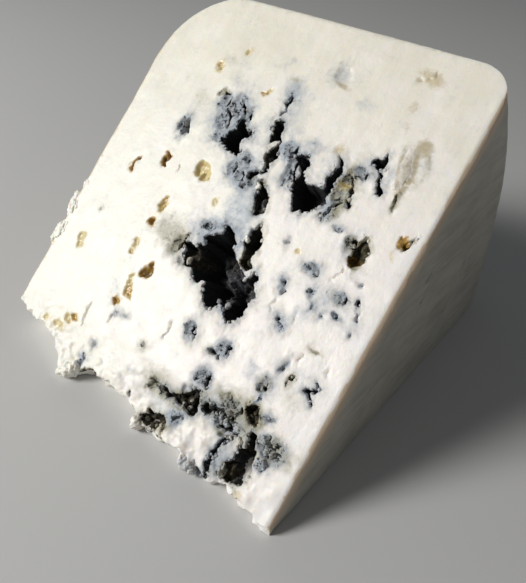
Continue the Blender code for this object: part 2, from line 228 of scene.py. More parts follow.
# The upper cut face's mould-lined hollows.
HOLLOWS = (
    # The wide hollow at the middle.
    Hollow(depth=9.5, halo=2.0, tone=0.05, outline=(
        (46.1, 38.0), (45.7, 37.0), (44.9, 35.8), (43.5, 34.6), (41.7, 34.6), (41.2, 33.2), (40.8, 32.4),
        (40.0, 31.2), (38.8, 30.1), (38.1, 29.2), (38.7, 28.4), (39.8, 27.9), (40.2, 27.2), (39.3, 26.9),
        (38.4, 27.0), (37.5, 26.0), (35.7, 25.2), (34.2, 25.4), (32.8, 25.9), (30.0, 26.3), (29.1, 27.7),
        (27.9, 28.8), (29.0, 28.7), (30.2, 29.3), (31.0, 30.4), (31.2, 31.7), (30.2, 32.1), (29.6, 32.9),
        (29.0, 33.8), (30.2, 35.3), (31.5, 36.2), (32.4, 37.2), (33.7, 37.3), (33.7, 38.1), (32.8, 39.8),
        (33.4, 40.6), (34.3, 41.8), (34.3, 42.8), (34.8, 44.0), (35.8, 44.6), (37.0, 45.7), (38.0, 44.9),
        (38.8, 46.7), (39.7, 46.8), (38.9, 43.5), (39.8, 42.9), (40.2, 41.9), (41.0, 41.4), (41.5, 42.4),
        (42.5, 41.7), (43.5, 40.4), (43.7, 39.4), (44.7, 39.0), (46.0, 39.8),
    )),
    # The slot above its right side.
    Hollow(depth=6.0, halo=1.0, tone=0.6, outline=(
        (50.3, 32.1), (48.2, 31.2), (46.2, 30.2), (43.7, 29.8), (42.3, 30.0), (41.4, 29.5), (40.4, 28.6),
        (39.8, 30.2), (40.8, 32.2), (43.2, 32.5), (44.6, 33.5), (46.7, 33.2), (47.6, 33.4), (48.2, 32.6),
        (49.6, 32.3),
    )),
    # The long crack from the rind side down to the slot.
    Hollow(depth=2.4, halo=1.8, tone=0.1, wall=0.25, outline=(
        (76.6, 40.9), (75.2, 40.3), (73.9, 40.4), (72.9, 40.2), (71.7, 40.6), (71.8, 41.2), (72.7, 40.8),
        (73.7, 40.9), (74.3, 41.4), (75.4, 41.1),
    )),
    Hollow(depth=5.5, halo=1.3, tone=0.5, outline=(
        (71.1, 40.2), (70.8, 39.2), (69.9, 38.6), (68.3, 38.6), (67.3, 37.8), (65.9, 37.1), (64.4, 36.9),
        (61.4, 37.0), (59.0, 37.1), (58.8, 37.7), (59.1, 38.1), (58.3, 38.6), (57.7, 39.3), (57.0, 40.0),
        (57.3, 40.8), (58.5, 41.1), (58.9, 40.3), (59.5, 39.1), (59.6, 38.4), (60.4, 38.4), (61.4, 38.8),
        (62.4, 39.3), (63.9, 39.3), (64.6, 39.0), (65.3, 38.2), (65.9, 37.7), (66.3, 38.1), (66.5, 38.7),
        (66.0, 39.7), (65.5, 40.3), (66.2, 40.6), (67.8, 40.6), (68.4, 41.7), (68.8, 41.3), (69.5, 41.0),
        (70.5, 41.2),
    )),
    Hollow(depth=1.6, halo=1.4, tone=0.2, outline=(
        (55.9, 40.9), (56.1, 40.3), (54.9, 39.9), (54.3, 40.2), (54.3, 40.9), (55.1, 41.2),
    )),
    Hollow(depth=4.6, halo=1.2, tone=0.6, outline=(
        (57.1, 37.9), (57.6, 36.7), (57.1, 36.0), (56.3, 35.1), (55.4, 34.1), (54.6, 33.3), (53.6, 33.2),
        (52.2, 32.8), (51.2, 33.8), (50.5, 34.9), (51.2, 35.4), (53.1, 35.9), (54.3, 36.6), (55.5, 36.8),
        (56.4, 37.5),
    )),
    # Upper left.
    Hollow(depth=6.5, halo=2.2, outline=(
        (68.1, 49.2), (67.9, 48.2), (66.9, 47.4), (66.2, 46.7), (66.8, 45.7), (65.4, 45.0), (64.4, 45.6),
        (63.4, 46.3), (62.4, 46.3), (61.4, 45.5), (60.1, 46.0), (60.5, 47.5), (61.1, 49.3), (61.8, 50.7),
        (62.1, 51.2), (62.8, 51.4), (63.4, 50.9), (63.8, 50.5), (64.7, 50.4), (65.6, 49.4), (66.9, 49.4),
    )),
    # Upper right, round a lobe of paste.
    Hollow(depth=8.0, halo=2.0, outline=(
        (65.4, 33.0), (66.0, 30.7), (66.2, 29.8), (65.2, 29.6), (63.9, 29.2), (62.4, 28.6), (61.2, 28.4),
        (60.3, 27.2), (60.8, 26.4), (61.0, 25.2), (61.4, 23.7), (62.4, 23.6), (63.4, 24.0), (64.9, 23.6),
        (66.1, 23.3), (67.3, 23.8), (68.1, 24.3), (67.9, 23.1), (67.1, 22.5), (65.5, 22.0), (63.4, 21.9),
        (61.2, 21.9), (58.5, 22.2), (57.0, 23.0), (55.7, 24.2), (54.6, 25.6), (55.5, 26.3), (54.8, 27.7),
        (56.0, 28.5), (57.7, 29.1), (58.5, 30.0), (59.9, 30.0), (60.2, 30.6), (61.4, 30.1), (62.6, 30.2),
        (63.4, 31.0), (64.2, 32.2), (63.8, 33.9), (64.4, 34.2), (64.8, 33.0),
    )),
    Hollow(depth=2.2, halo=1.6, tone=0.3, wall=0.25, outline=(
        (58.3, 19.4), (57.1, 20.0), (55.7, 20.6), (55.7, 21.2), (57.5, 20.5), (58.7, 20.5),
    )),
    Hollow(depth=2.2, halo=1.2, tone=0.4, wall=0.25, outline=(
        (55.6, 22.0), (57.2, 21.3), (58.8, 20.2), (60.2, 18.9), (61.3, 17.6), (60.0, 18.5), (58.2, 19.7),
        (56.4, 21.0),
    )),
    # Slit at the right.
    Hollow(depth=4.5, halo=1.2, tone=0.1, wall=0.3, outline=(
        (72.4, 14.6), (71.0, 14.5), (68.8, 14.5), (67.3, 14.3), (66.1, 13.6), (65.3, 12.8), (64.7, 11.9),
        (63.8, 12.6), (64.2, 13.3), (63.6, 13.9), (64.5, 13.8), (65.3, 14.1), (66.3, 14.8), (68.1, 15.0),
        (68.4, 15.7), (68.8, 16.8), (69.8, 17.2), (70.5, 16.6), (71.2, 15.4),
    )),
    # Small ones at the right and the middle.
    Hollow(depth=2.0, halo=1.2, tone=0.0, wall=0.25, outline=(
        (44.9, 5.9), (44.4, 5.6), (43.2, 5.9), (43.7, 6.5), (44.2, 6.7),
    )),
    Hollow(depth=1.1, halo=1.6, outline=(
        (46.9, 17.0), (46.7, 15.6), (45.7, 15.5), (45.0, 16.1), (45.2, 17.2), (45.9, 17.8), (46.0, 19.3),
        (46.4, 18.2),
    )),
    Hollow(depth=1.2, halo=1.6, outline=(
        (35.3, 19.4), (35.1, 18.1), (34.3, 17.7), (34.0, 18.4), (34.6, 19.2),
    )),
    Hollow(depth=0.7, halo=1.8, outline=(
        (34.0, 17.7), (33.2, 16.7), (32.6, 17.0), (33.3, 17.9),
    )),
    Hollow(depth=2.6, outline=(
        (25.1, 34.5), (24.7, 33.6), (23.7, 33.0), (22.6, 32.8), (21.8, 33.2), (22.7, 33.7), (23.9, 34.1),
    )),
    Hollow(depth=1.8, halo=1.4, outline=(
        (25.4, 24.8), (25.0, 24.1), (23.2, 24.1), (22.6, 24.5), (23.8, 24.7), (24.6, 24.6),
    )),
    Hollow(depth=1.8, halo=1.4, outline=(
        (17.9, 25.4), (17.1, 24.8), (16.0, 24.6), (16.2, 25.2), (17.1, 25.7),
    )),
    # The forked crack near the right flat and the hole beside it.
    Hollow(depth=2.0, halo=1.3, tone=0.0, wall=0.2, outline=(
        (27.8, 6.1), (27.4, 5.4), (26.9, 4.4), (26.3, 5.0), (25.7, 5.6), (24.9, 5.2), (23.5, 4.1),
        (23.3, 4.5), (24.7, 5.8), (25.0, 6.5), (24.9, 7.3), (25.4, 7.2), (25.7, 6.2), (26.4, 5.5),
        (26.9, 5.3),
    )),
    Hollow(depth=2.2, halo=1.0, tone=0.7, wall=0.25, outline=(
        (26.6, 10.5), (26.4, 9.9), (25.6, 9.7), (25.2, 10.1), (25.3, 10.8), (26.0, 10.7),
    )),
    Hollow(depth=1.2, halo=1.2, tone=0.1, wall=0.2, outline=(
        (18.0, 9.1), (17.4, 9.3), (17.3, 11.2), (17.7, 11.3),
    )),
    # The band of hollows along the thin edge, from right to left.
    Hollow(depth=3.0, halo=1.4, tone=0.8, outline=(
        (17.6, 15.9), (18.2, 15.0), (18.3, 14.0), (17.9, 13.0), (17.0, 12.0), (15.7, 11.6), (14.7, 12.0),
        (14.3, 13.0), (14.9, 14.0), (15.9, 14.6), (16.8, 15.2),
    )),
    Hollow(depth=4.8, halo=1.2, tone=0.5, outline=(
        (13.8, 11.6), (13.8, 10.0), (12.4, 10.2), (11.1, 9.2), (9.7, 9.0), (7.8, 8.1), (5.6, 8.2), (4.0, 9.2),
        (3.7, 10.9), (3.2, 12.5), (3.2, 14.1), (5.2, 14.1), (6.9, 13.4), (7.9, 12.7), (10.1, 12.8),
        (10.6, 11.8), (11.6, 11.6), (12.6, 12.3),
    )),
    Hollow(depth=1.2, halo=1.4, tone=0.3, outline=(
        (14.2, 9.4), (14.6, 8.3), (14.0, 7.3), (14.8, 5.7), (14.9, 4.3), (14.2, 4.7), (13.8, 6.1),
        (12.8, 6.7), (12.1, 5.5), (12.6, 4.1), (11.5, 4.7), (11.1, 6.5), (11.3, 8.0), (12.0, 9.6),
        (13.0, 9.8),
    )),
    Hollow(depth=2.4, halo=1.4, tone=0.3, outline=(
        (13.8, 24.0), (13.7, 22.2), (14.3, 20.5), (13.7, 18.9), (13.8, 17.6), (12.7, 17.4), (12.5, 16.1),
        (12.2, 14.5), (13.0, 13.9), (11.6, 14.1), (11.2, 15.3), (10.8, 17.1), (10.6, 18.4), (11.3, 19.4),
        (12.2, 19.8), (11.7, 20.8), (11.9, 23.2), (12.7, 23.7),
    )),
    Hollow(depth=1.8, halo=1.6, outline=(
        (7.1, 15.9), (6.3, 15.3), (5.3, 15.8), (4.2, 16.4), (4.5, 17.0), (5.5, 17.4), (6.5, 17.2),
    )),
    Hollow(depth=1.2, halo=1.4, tone=0.4, wall=0.25, outline=(
        (10.4, 14.3), (9.0, 15.1), (7.7, 15.7), (7.9, 16.3), (9.2, 15.9), (10.6, 15.0),
    )),
    Hollow(depth=3.4, halo=1.6, tone=0.5, outline=(
        (11.2, 33.9), (11.6, 32.5), (11.3, 31.1), (12.0, 29.7), (13.0, 28.3), (14.0, 27.4), (14.6, 25.8),
        (13.8, 24.8), (12.5, 24.2), (10.9, 24.2), (9.6, 24.8), (9.5, 25.9), (10.0, 27.2), (10.3, 29.1),
        (10.1, 32.1), (9.9, 33.3),
    )),
    Hollow(depth=1.6, halo=1.5, tone=0.1, outline=(
        (9.1, 26.1), (8.2, 25.9), (7.8, 26.9), (7.0, 27.7), (6.6, 28.4), (7.3, 28.9), (8.5, 28.1),
        (8.7, 27.1),
    )),
    Hollow(depth=1.6, halo=1.2, tone=0.7, outline=(
        (11.8, 36.3), (11.7, 35.3), (11.3, 34.7), (10.2, 35.2), (9.0, 35.4), (8.8, 36.8), (8.6, 38.1),
        (9.8, 37.4), (10.8, 37.6), (11.4, 37.4),
    )),
    Hollow(depth=3.4, halo=1.2, tone=0.7, outline=(
        (6.5, 33.6), (5.7, 32.6), (6.5, 31.6), (6.5, 30.5), (5.8, 29.5), (4.8, 28.2), (3.6, 28.7),
        (2.7, 30.4), (2.6, 32.1), (2.3, 33.8), (2.8, 34.9), (3.2, 36.1), (4.4, 34.6), (5.2, 33.8),
    )),
    Hollow(depth=1.8, halo=0.8, tone=0.4, wall=0.25, outline=(
        (7.0, 40.0), (6.1, 39.7), (4.9, 39.5), (5.1, 40.3), (6.1, 40.4),
    )),
    Hollow(depth=1.2, halo=1.2, tone=0.2, outline=(
        (10.5, 54.4), (10.3, 53.7), (9.5, 53.5), (9.1, 54.1), (9.8, 54.9), (10.2, 55.5),
    )),
    Hollow(depth=1.4, halo=1.2, outline=(
        (6.7, 55.7), (6.5, 54.7), (5.7, 54.7), (4.5, 54.7), (4.3, 55.3), (5.3, 55.5), (6.1, 56.0),
    )),
    Hollow(depth=5.0, halo=0.6, tone=0.9, outline=(
        (4.9, 53.1), (5.3, 51.1), (4.8, 49.5), (3.4, 49.7), (2.4, 51.5), (3.4, 54.1),
    )),
    # The squarish one near the right edge.
    Hollow(depth=3.8, halo=0.5, tone=1.0, wall=0.7, outline=(
        (56.2, 10.4), (54.3, 9.4), (52.7, 8.6), (51.3, 9.0), (49.9, 9.7), (48.9, 10.1), (49.8, 11.6),
        (50.9, 12.1), (52.1, 11.8), (53.3, 12.2), (54.8, 11.5), (55.8, 11.2),
    )),
    # The pointed one beside it.
    Hollow(depth=2.2, halo=0.4, tone=1.0, wall=0.4, outline=(
        (55.8, 3.8), (57.1, 4.3), (58.3, 3.5), (59.7, 2.2), (58.4, 2.4), (57.0, 2.8), (55.9, 3.4),
    )),
    # A cleft between two lumps of the thin edge.
    Hollow(depth=2.6, halo=0.9, tone=0.4, outline=(
        (0.9, 16.8), (3.9, 17.5), (6.5, 17.4), (8.9, 16.7), (10.3, 15.9), (9.9, 15.1), (7.7, 15.9),
        (5.5, 16.3), (3.6, 16.0), (1.2, 15.7),
    )),
)

# Rows of spots give along, across, length, width, depth, turn, halo and tone, as far as they aren't zero
# or usual. These are raised floors within the hollows, whose depth is that of the floor.
SHELVES = each(
    Spot,
    (53.0, 10.4, 4.6, 2.6, 2.2, -10, 1.8, 1.0), (62.4, 19.8, 8.0, 3.2, 0.8, 0, 1.8, 0.6),
    (37.5, 32.7, 8.0, 8.4, 5.2), (35.5, 27.2, 6.6, 4.6, 2.8), (32.6, 31.9, 2.6, 3.6, 4.4),
    (36.6, 43.1, 5.2, 4.6, 2.4, 0.0, 1.8, 0.7), (42.0, 31.4, 4.0, 3.0, 2.0, 0.0, 1.8, 0.9),
    (53.0, 34.5, 4.2, 2.4, 1.8, 0.0, 1.8, 0.6), (62.2, 38.7, 3.4, 1.8, 2.4, 0.0, 1.8, 0.6),
    (66.7, 30.6, 3.4, 3.0, 1.8), (59.1, 23.2, 5.0, 2.4, 3.6), (64.8, 32.6, 2.4, 3.4, 1.2),
    (5.0, 12.9, 4.6, 3.2, 1.5, 0.0, 1.8, 1.0), (15.9, 13.6, 3.0, 2.8, 1.3, 0.0, 1.8, 0.8),
    (12.0, 27.7, 3.0, 3.4, 1.6, 0.0, 1.8, 0.6), (4.2, 30.6, 3.6, 3.4, 1.6, 0.0, 1.8, 0.8),
)

# Shallow, mould-eaten ovals.
MOTTLES = each(
    Spot,
    (64.0, 9.3, 3.6, 0.8, 0.9, 8, 0.7, 1.0), (38.2, 47.5, 5.0, 2.2, 0.7, -24, 1.3, 0.8),
    (35.2, 45.0, 2.6, 2.6, 0.8, 0, 1.1, 0.5), (44.5, 42.5, 1.4, 3.6, 0.9, 0, 1.1),
    (70.3, 51.6, 5.4, 4.4, 0.8, 20, 1.2, 0.25), (70.5, 55.6, 3.8, 2.6, 0.8, -20, 1.1, 0.1),
    (66.6, 53.4, 6.4, 3.6, 0.7, 8, 1.1), (62.4, 52.3, 1.6, 2.8, 0.9, 0, 1.0),
    (69.1, 48.2, 3.6, 2.2, 0.9, 0, 1.0, 0.6), (72.1, 57.0, 1.4, 2.2, 0.8, 30, 0.7, 1.0),
    (56.7, 38.9, 2.2, 3.0, 0.8, 0, 1.0, 0.6), (56.9, 42.3, 2.6, 2.2, 0.5, 0, 1.2),
    (60.4, 42.9, 1.4, 1.8, 0.5, 0, 1.1), (57.7, 45.2, 3.6, 2.6, 0.6, 0, 1.2, 0.3),
    (56.7, 42.1, 2.6, 2.0, 0.6, 0, 1.2, 0.1), (61.8, 32.2, 6.4, 2.6, 0.7, 0, 1.1),
    (66.2, 34.6, 3.0, 2.8, 0.7, 0, 1.2), (62.2, 19.7, 9.4, 3.6, 0.8, 6, 1.1, 0.95),
    (66.5, 17.9, 1.8, 3.6, 0.8, 0, 1.2, 0.3), (60.0, 17.7, 1.6, 1.6, 0.9, 0, 1.1, 0.4),
    (62.0, 61.6, 4.6, 1.6, 1.6, 0, 1.3), (62.2, 63.2, 3.6, 1.3, 0.9, -8, 1.2),
    (23.6, 34.7, 3.8, 2.8, 0.8, 6, 0.8, 0.1), (24.0, 25.9, 3.2, 2.6, 0.6, 0, 0.8),
    (22.4, 27.0, 1.3, 3.2, 0.7, 20, 1.0, 0.4), (17.3, 26.8, 3.4, 3.4, 0.8, 0, 1.0),
    (41.3, 21.4, 1.3, 1.7, 0.8, 0, 1.0), (39.8, 21.0, 1.3, 1.6, 0.8, 0, 0.8),
    (48.6, 24.9, 1.5, 1.3, 0.8, 0, 1.0), (55.3, 16.5, 1.1, 2.0, 0.7, 0, 1.0),
    (43.5, 9.3, 1.8, 2.0, 0.6, 0, 1.3, 0.3), (39.5, 13.2, 1.4, 1.0, 0.5, 0, 1.3),
    (38.8, 11.1, 1.2, 0.7, 0.6, 0, 1.0), (41.7, 15.3, 1.0, 1.4, 0.5, 0, 1.0),
    (40.0, 8.4, 0.6, 2.2, 0.5, 0, 1.0), (53.6, 13.1, 2.8, 2.0, 0.6, 0, 0.8, 0.9),
    (47.1, 7.5, 0.8, 1.0, 0.5, 0, 0.7), (38.0, 4.6, 1.2, 0.7, 0.6, 0, 0.6, 0.3),
    (32.7, 9.0, 0.6, 2.4, 0.6, 0, 0.6, 0.6), (24.7, 10.5, 0.9, 0.6, 0.6, 0, 0.5, 0.7),
    (15.8, 42.7, 0.8, 1.2, 0.5, 0, 0.8, 0.5), (18.9, 50.7, 0.8, 1.8, 0.4, 0, 1.0, 0.2),
    (18.0, 53.2, 1.4, 0.7, 0.4, -20, 0.8, 0.3), (36.3, 71.7, 0.8, 0.7, 0.4, 0, 0.5, 0.5),
    (13.7, 19.5, 2.6, 7.6, 1.0, 0, 0.8, 0.5), (15.8, 17.5, 2.2, 4.4, 0.9, 0, 0.8, 0.6),
    (16.7, 19.7, 1.2, 2.6, 0.6, 0, 0.8, 0.8), (10.2, 16.3, 1.4, 4.0, 1.0, 0, 0.8, 0.6),
    (13.0, 28.5, 2.6, 3.0, 0.9, 0, 0.8, 0.4), (10.8, 32.7, 1.4, 4.6, 1.2, 0, 0.8, 0.4),
    (19.6, 14.0, 2.2, 0.7, 0.8, -10, 0.8), (22.3, 14.6, 2.6, 1.8, 0.6, 0, 1.0, 0.5),
    (27.2, 12.7, 3.2, 0.8, 0.6, 0, 0.8, 0.3), (9.3, 7.6, 1.8, 2.2, 0.6, 0, 0.8, 0.3),
)

# Clefts in the mould-eaten ovals and between them, painted near-black as shade by their depth. The first few
# are browner.
CLEFTS = each(
    Spot,
    (12.9, 9.2, 1.6, 0.7, 1.7, 67), (14.2, 7.8, 1.3, 0.6, 1.6, -17), (11.6, 7.2, 1.4, 0.8, 1.9, -85),
    (12.9, 5.8, 1.9, 0.6, 1.7, -90), (10.1, 7.9, 1.2, 0.6, 1.6, 58), (14.4, 4.9, 1.6, 0.5, 1.5, 81),
    (58.2, 44.6, 1.8, 0.6, 1.4, 62), (57.1, 42.2, 1.6, 0.7, 1.6, 67),
    halo=0.4,
    tone=0.3,
) + each(
    Spot,
    (48.7, 24.6, 1.3, 0.7, 1.7, -37), (54.8, 16.8, 1.4, 0.7, 1.5, 63), (54.9, 15.9, 1.4, 0.7, 1.9, -49),
    (45.5, 16.1, 1.3, 1.0, 1.9, 61), (45.8, 18.0, 1.3, 0.6, 1.4, 79), (41.1, 21.2, 1.7, 0.6, 1.9, 45),
    (39.5, 20.7, 1.3, 0.7, 1.5, -84), (38.9, 13.4, 1.5, 0.5, 1.5, -48), (38.8, 10.8, 1.0, 0.6, 1.7, 45),
    (43.3, 8.7, 1.3, 0.7, 1.7, -37), (43.7, 9.8, 1.1, 0.5, 1.5, 76), (44.0, 6.0, 1.4, 1.1, 2.2, 5),
    (41.9, 5.2, 2.2, 0.4, 1.6, 28), (47.3, 7.2, 1.1, 0.6, 1.6, 60), (39.9, 8.7, 1.8, 0.45, 1.6, -90),
    (34.6, 18.6, 1.7, 1.2, 2.0, 65), (33.8, 17.4, 1.6, 0.6, 1.6, 45), (41.9, 15.4, 1.3, 0.6, 1.4, 66),
    (25.9, 5.5, 3.1, 0.7, 2.0, -48), (27.2, 5.1, 1.6, 0.6, 1.8, 51), (24.4, 5.0, 2.8, 0.6, 2.0, 40),
    (23.9, 33.2, 3.2, 0.8, 2.2, 25), (24.3, 24.4, 3.1, 0.6, 2.0, 21), (22.2, 27.5, 1.7, 0.7, 1.7, 73),
    (22.3, 25.9, 1.8, 0.6, 1.6, 82), (16.7, 25.1, 3.5, 0.8, 2.2, 28), (17.5, 27.5, 1.5, 0.5, 1.5, -35),
    (17.3, 9.6, 1.7, 0.5, 1.5, -90), (21.3, 14.8, 1.7, 0.6, 1.5, 65), (26.9, 13.1, 2.0, 0.6, 1.5, -10),
    halo=0.4,
    tone=0.2,
)

# Dry hairline cracks: along, across, length, width and turn.
CRACKS = tuple(
    Spot(along, across, length, width, 0.7, turn, 0.2, 0.6)
    for along, across, length, width, turn in (
        (17.1, 53.6, 4.6, 0.38, 0), (21.1, 39.3, 5.6, 0.38, -4), (36.3, 21.0, 4.0, 0.38, 8),
        (36.0, 15.5, 3.2, 0.38, 12), (30.2, 4.4, 2.0, 0.45, 8), (42.1, 5.2, 2.6, 0.38, -18),
        (47.5, 12.2, 4.6, 0.45, -14), (30.1, 10.5, 3.4, 0.38, 0), (14.1, 60.1, 7.0, 0.38, 4),
        (53.0, 57.6, 2.2, 0.52, -10),
    )
)

# Dry dents near the rind.
DENTS = each(
    Spot,
    (83.8, 31.7, 4.2, 5.0, 0.35, -12), (89.3, 14.2, 1.4, 1.2, 0.35), (87.6, 16.9, 1.2, 1.5, 0.3),
    (88.4, 15.5, 0.9, 1.4, 0.3),
)

# Pits of straw to brown whey.
WHEY_PITS = each(
    Spot,
    (63.3, 20.4, 1.6, 1.6, 0.5, 20, 0.9, 0.2), (54.1, 51.2, 4.2, 4.6, 1.5, 0, 0.5, 0.1),
    (53.2, 49.4, 1.8, 1.4, 1.1, 0, 0.4, 0.45), (53.7, 62.3, 3.8, 1.8, 1.5, 0, 0.6, 0.75),
    (50.1, 69.7, 3.4, 1.4, 1.3, -24, 0.7, 0.7), (48.4, 70.2, 2.4, 1.8, 1.3, 0, 0.8, 0.6),
    (44.4, 56.4, 4.8, 1.5, 1.0, 6, 0.6, 0.3), (39.5, 57.1, 3.0, 2.4, 1.9, 0, 0.7, 0.62),
    (33.8, 57.6, 3.4, 1.3, 0.7, 0, 0.8, 0.12), (31.7, 57.8, 1.6, 1.0, 0.8, 0, 0.6, 0.45),
    (29.8, 51.3, 4.2, 2.4, 1.9, -8, 0.5, 0.72), (26.3, 54.1, 3.0, 1.5, 0.6, 0, 0.8, 0.25),
    (23.6, 53.3, 3.6, 1.8, 0.7, 24, 0.8, 0.45), (20.3, 54.9, 3.0, 1.6, 1.0, 8, 0.8, 0.6),
    (28.1, 72.8, 3.8, 2.4, 0.6, 0, 1.0), (12.5, 63.0, 2.8, 2.0, 1.1, -30, 0.6, 0.42),
    (11.1, 64.4, 2.2, 2.2, 0.8, 0, 0.8, 0.3), (8.7, 66.2, 1.8, 3.0, 0.5, 0, 1.0, 0.05),
    (8.5, 70.6, 1.4, 2.0, 0.5, 0, 1.0, 0.05), (50.8, 10.7, 2.2, 2.4, 0.5, 0, 0.5, 1.0),
    (57.4, 4.0, 3.6, 1.6, 0.4, 20, 0.4, 1.0), (56.8, 4.3, 1.8, 1.0, 0.4, 30, 0.4, 1.0),
    (82.2, 56.4, 2.2, 1.6, 0.7, -30, 0.9, 0.25), (77.7, 61.5, 3.0, 1.8, 0.7, 0, 1.0, 0.35),
    (75.5, 46.5, 1.6, 1.2, 0.4, -30, 0.8, 0.4), (74.7, 47.1, 0.8, 1.4, 0.5, 0, 0.5, 0.8),
    (49.6, 44.7, 2.4, 0.8, 0.4, 0, 0.8, 0.25), (47.7, 21.5, 1.1, 1.2, 0.4, 0, 0.8, 0.2),
)

# Dark spots of mould on the near flat, placed by distance out from the axis, then height.
FLAT_SPOTS = each(
    Spot,
    (47.9, 32.0, 4.6, 1.1, 0.4, -132, 1.2), (47.8, 27.4, 3.9, 0.8, 0.4, -112, 1.2),
    (68.8, 24.1, 5.1, 0.8, 0.4, -77, 1.2, 0.1), (34.9, 6.5, 2.1, 0.9, 0.4, -108, 1.2, 0.3),
    (64.8, 14.0, 4.3, 0.6, 0.4, -131, 1.2, 0.1), (23.1, 17.4, 2.5, 0.6, 0.4, -159, 1.2, 0.2),
)

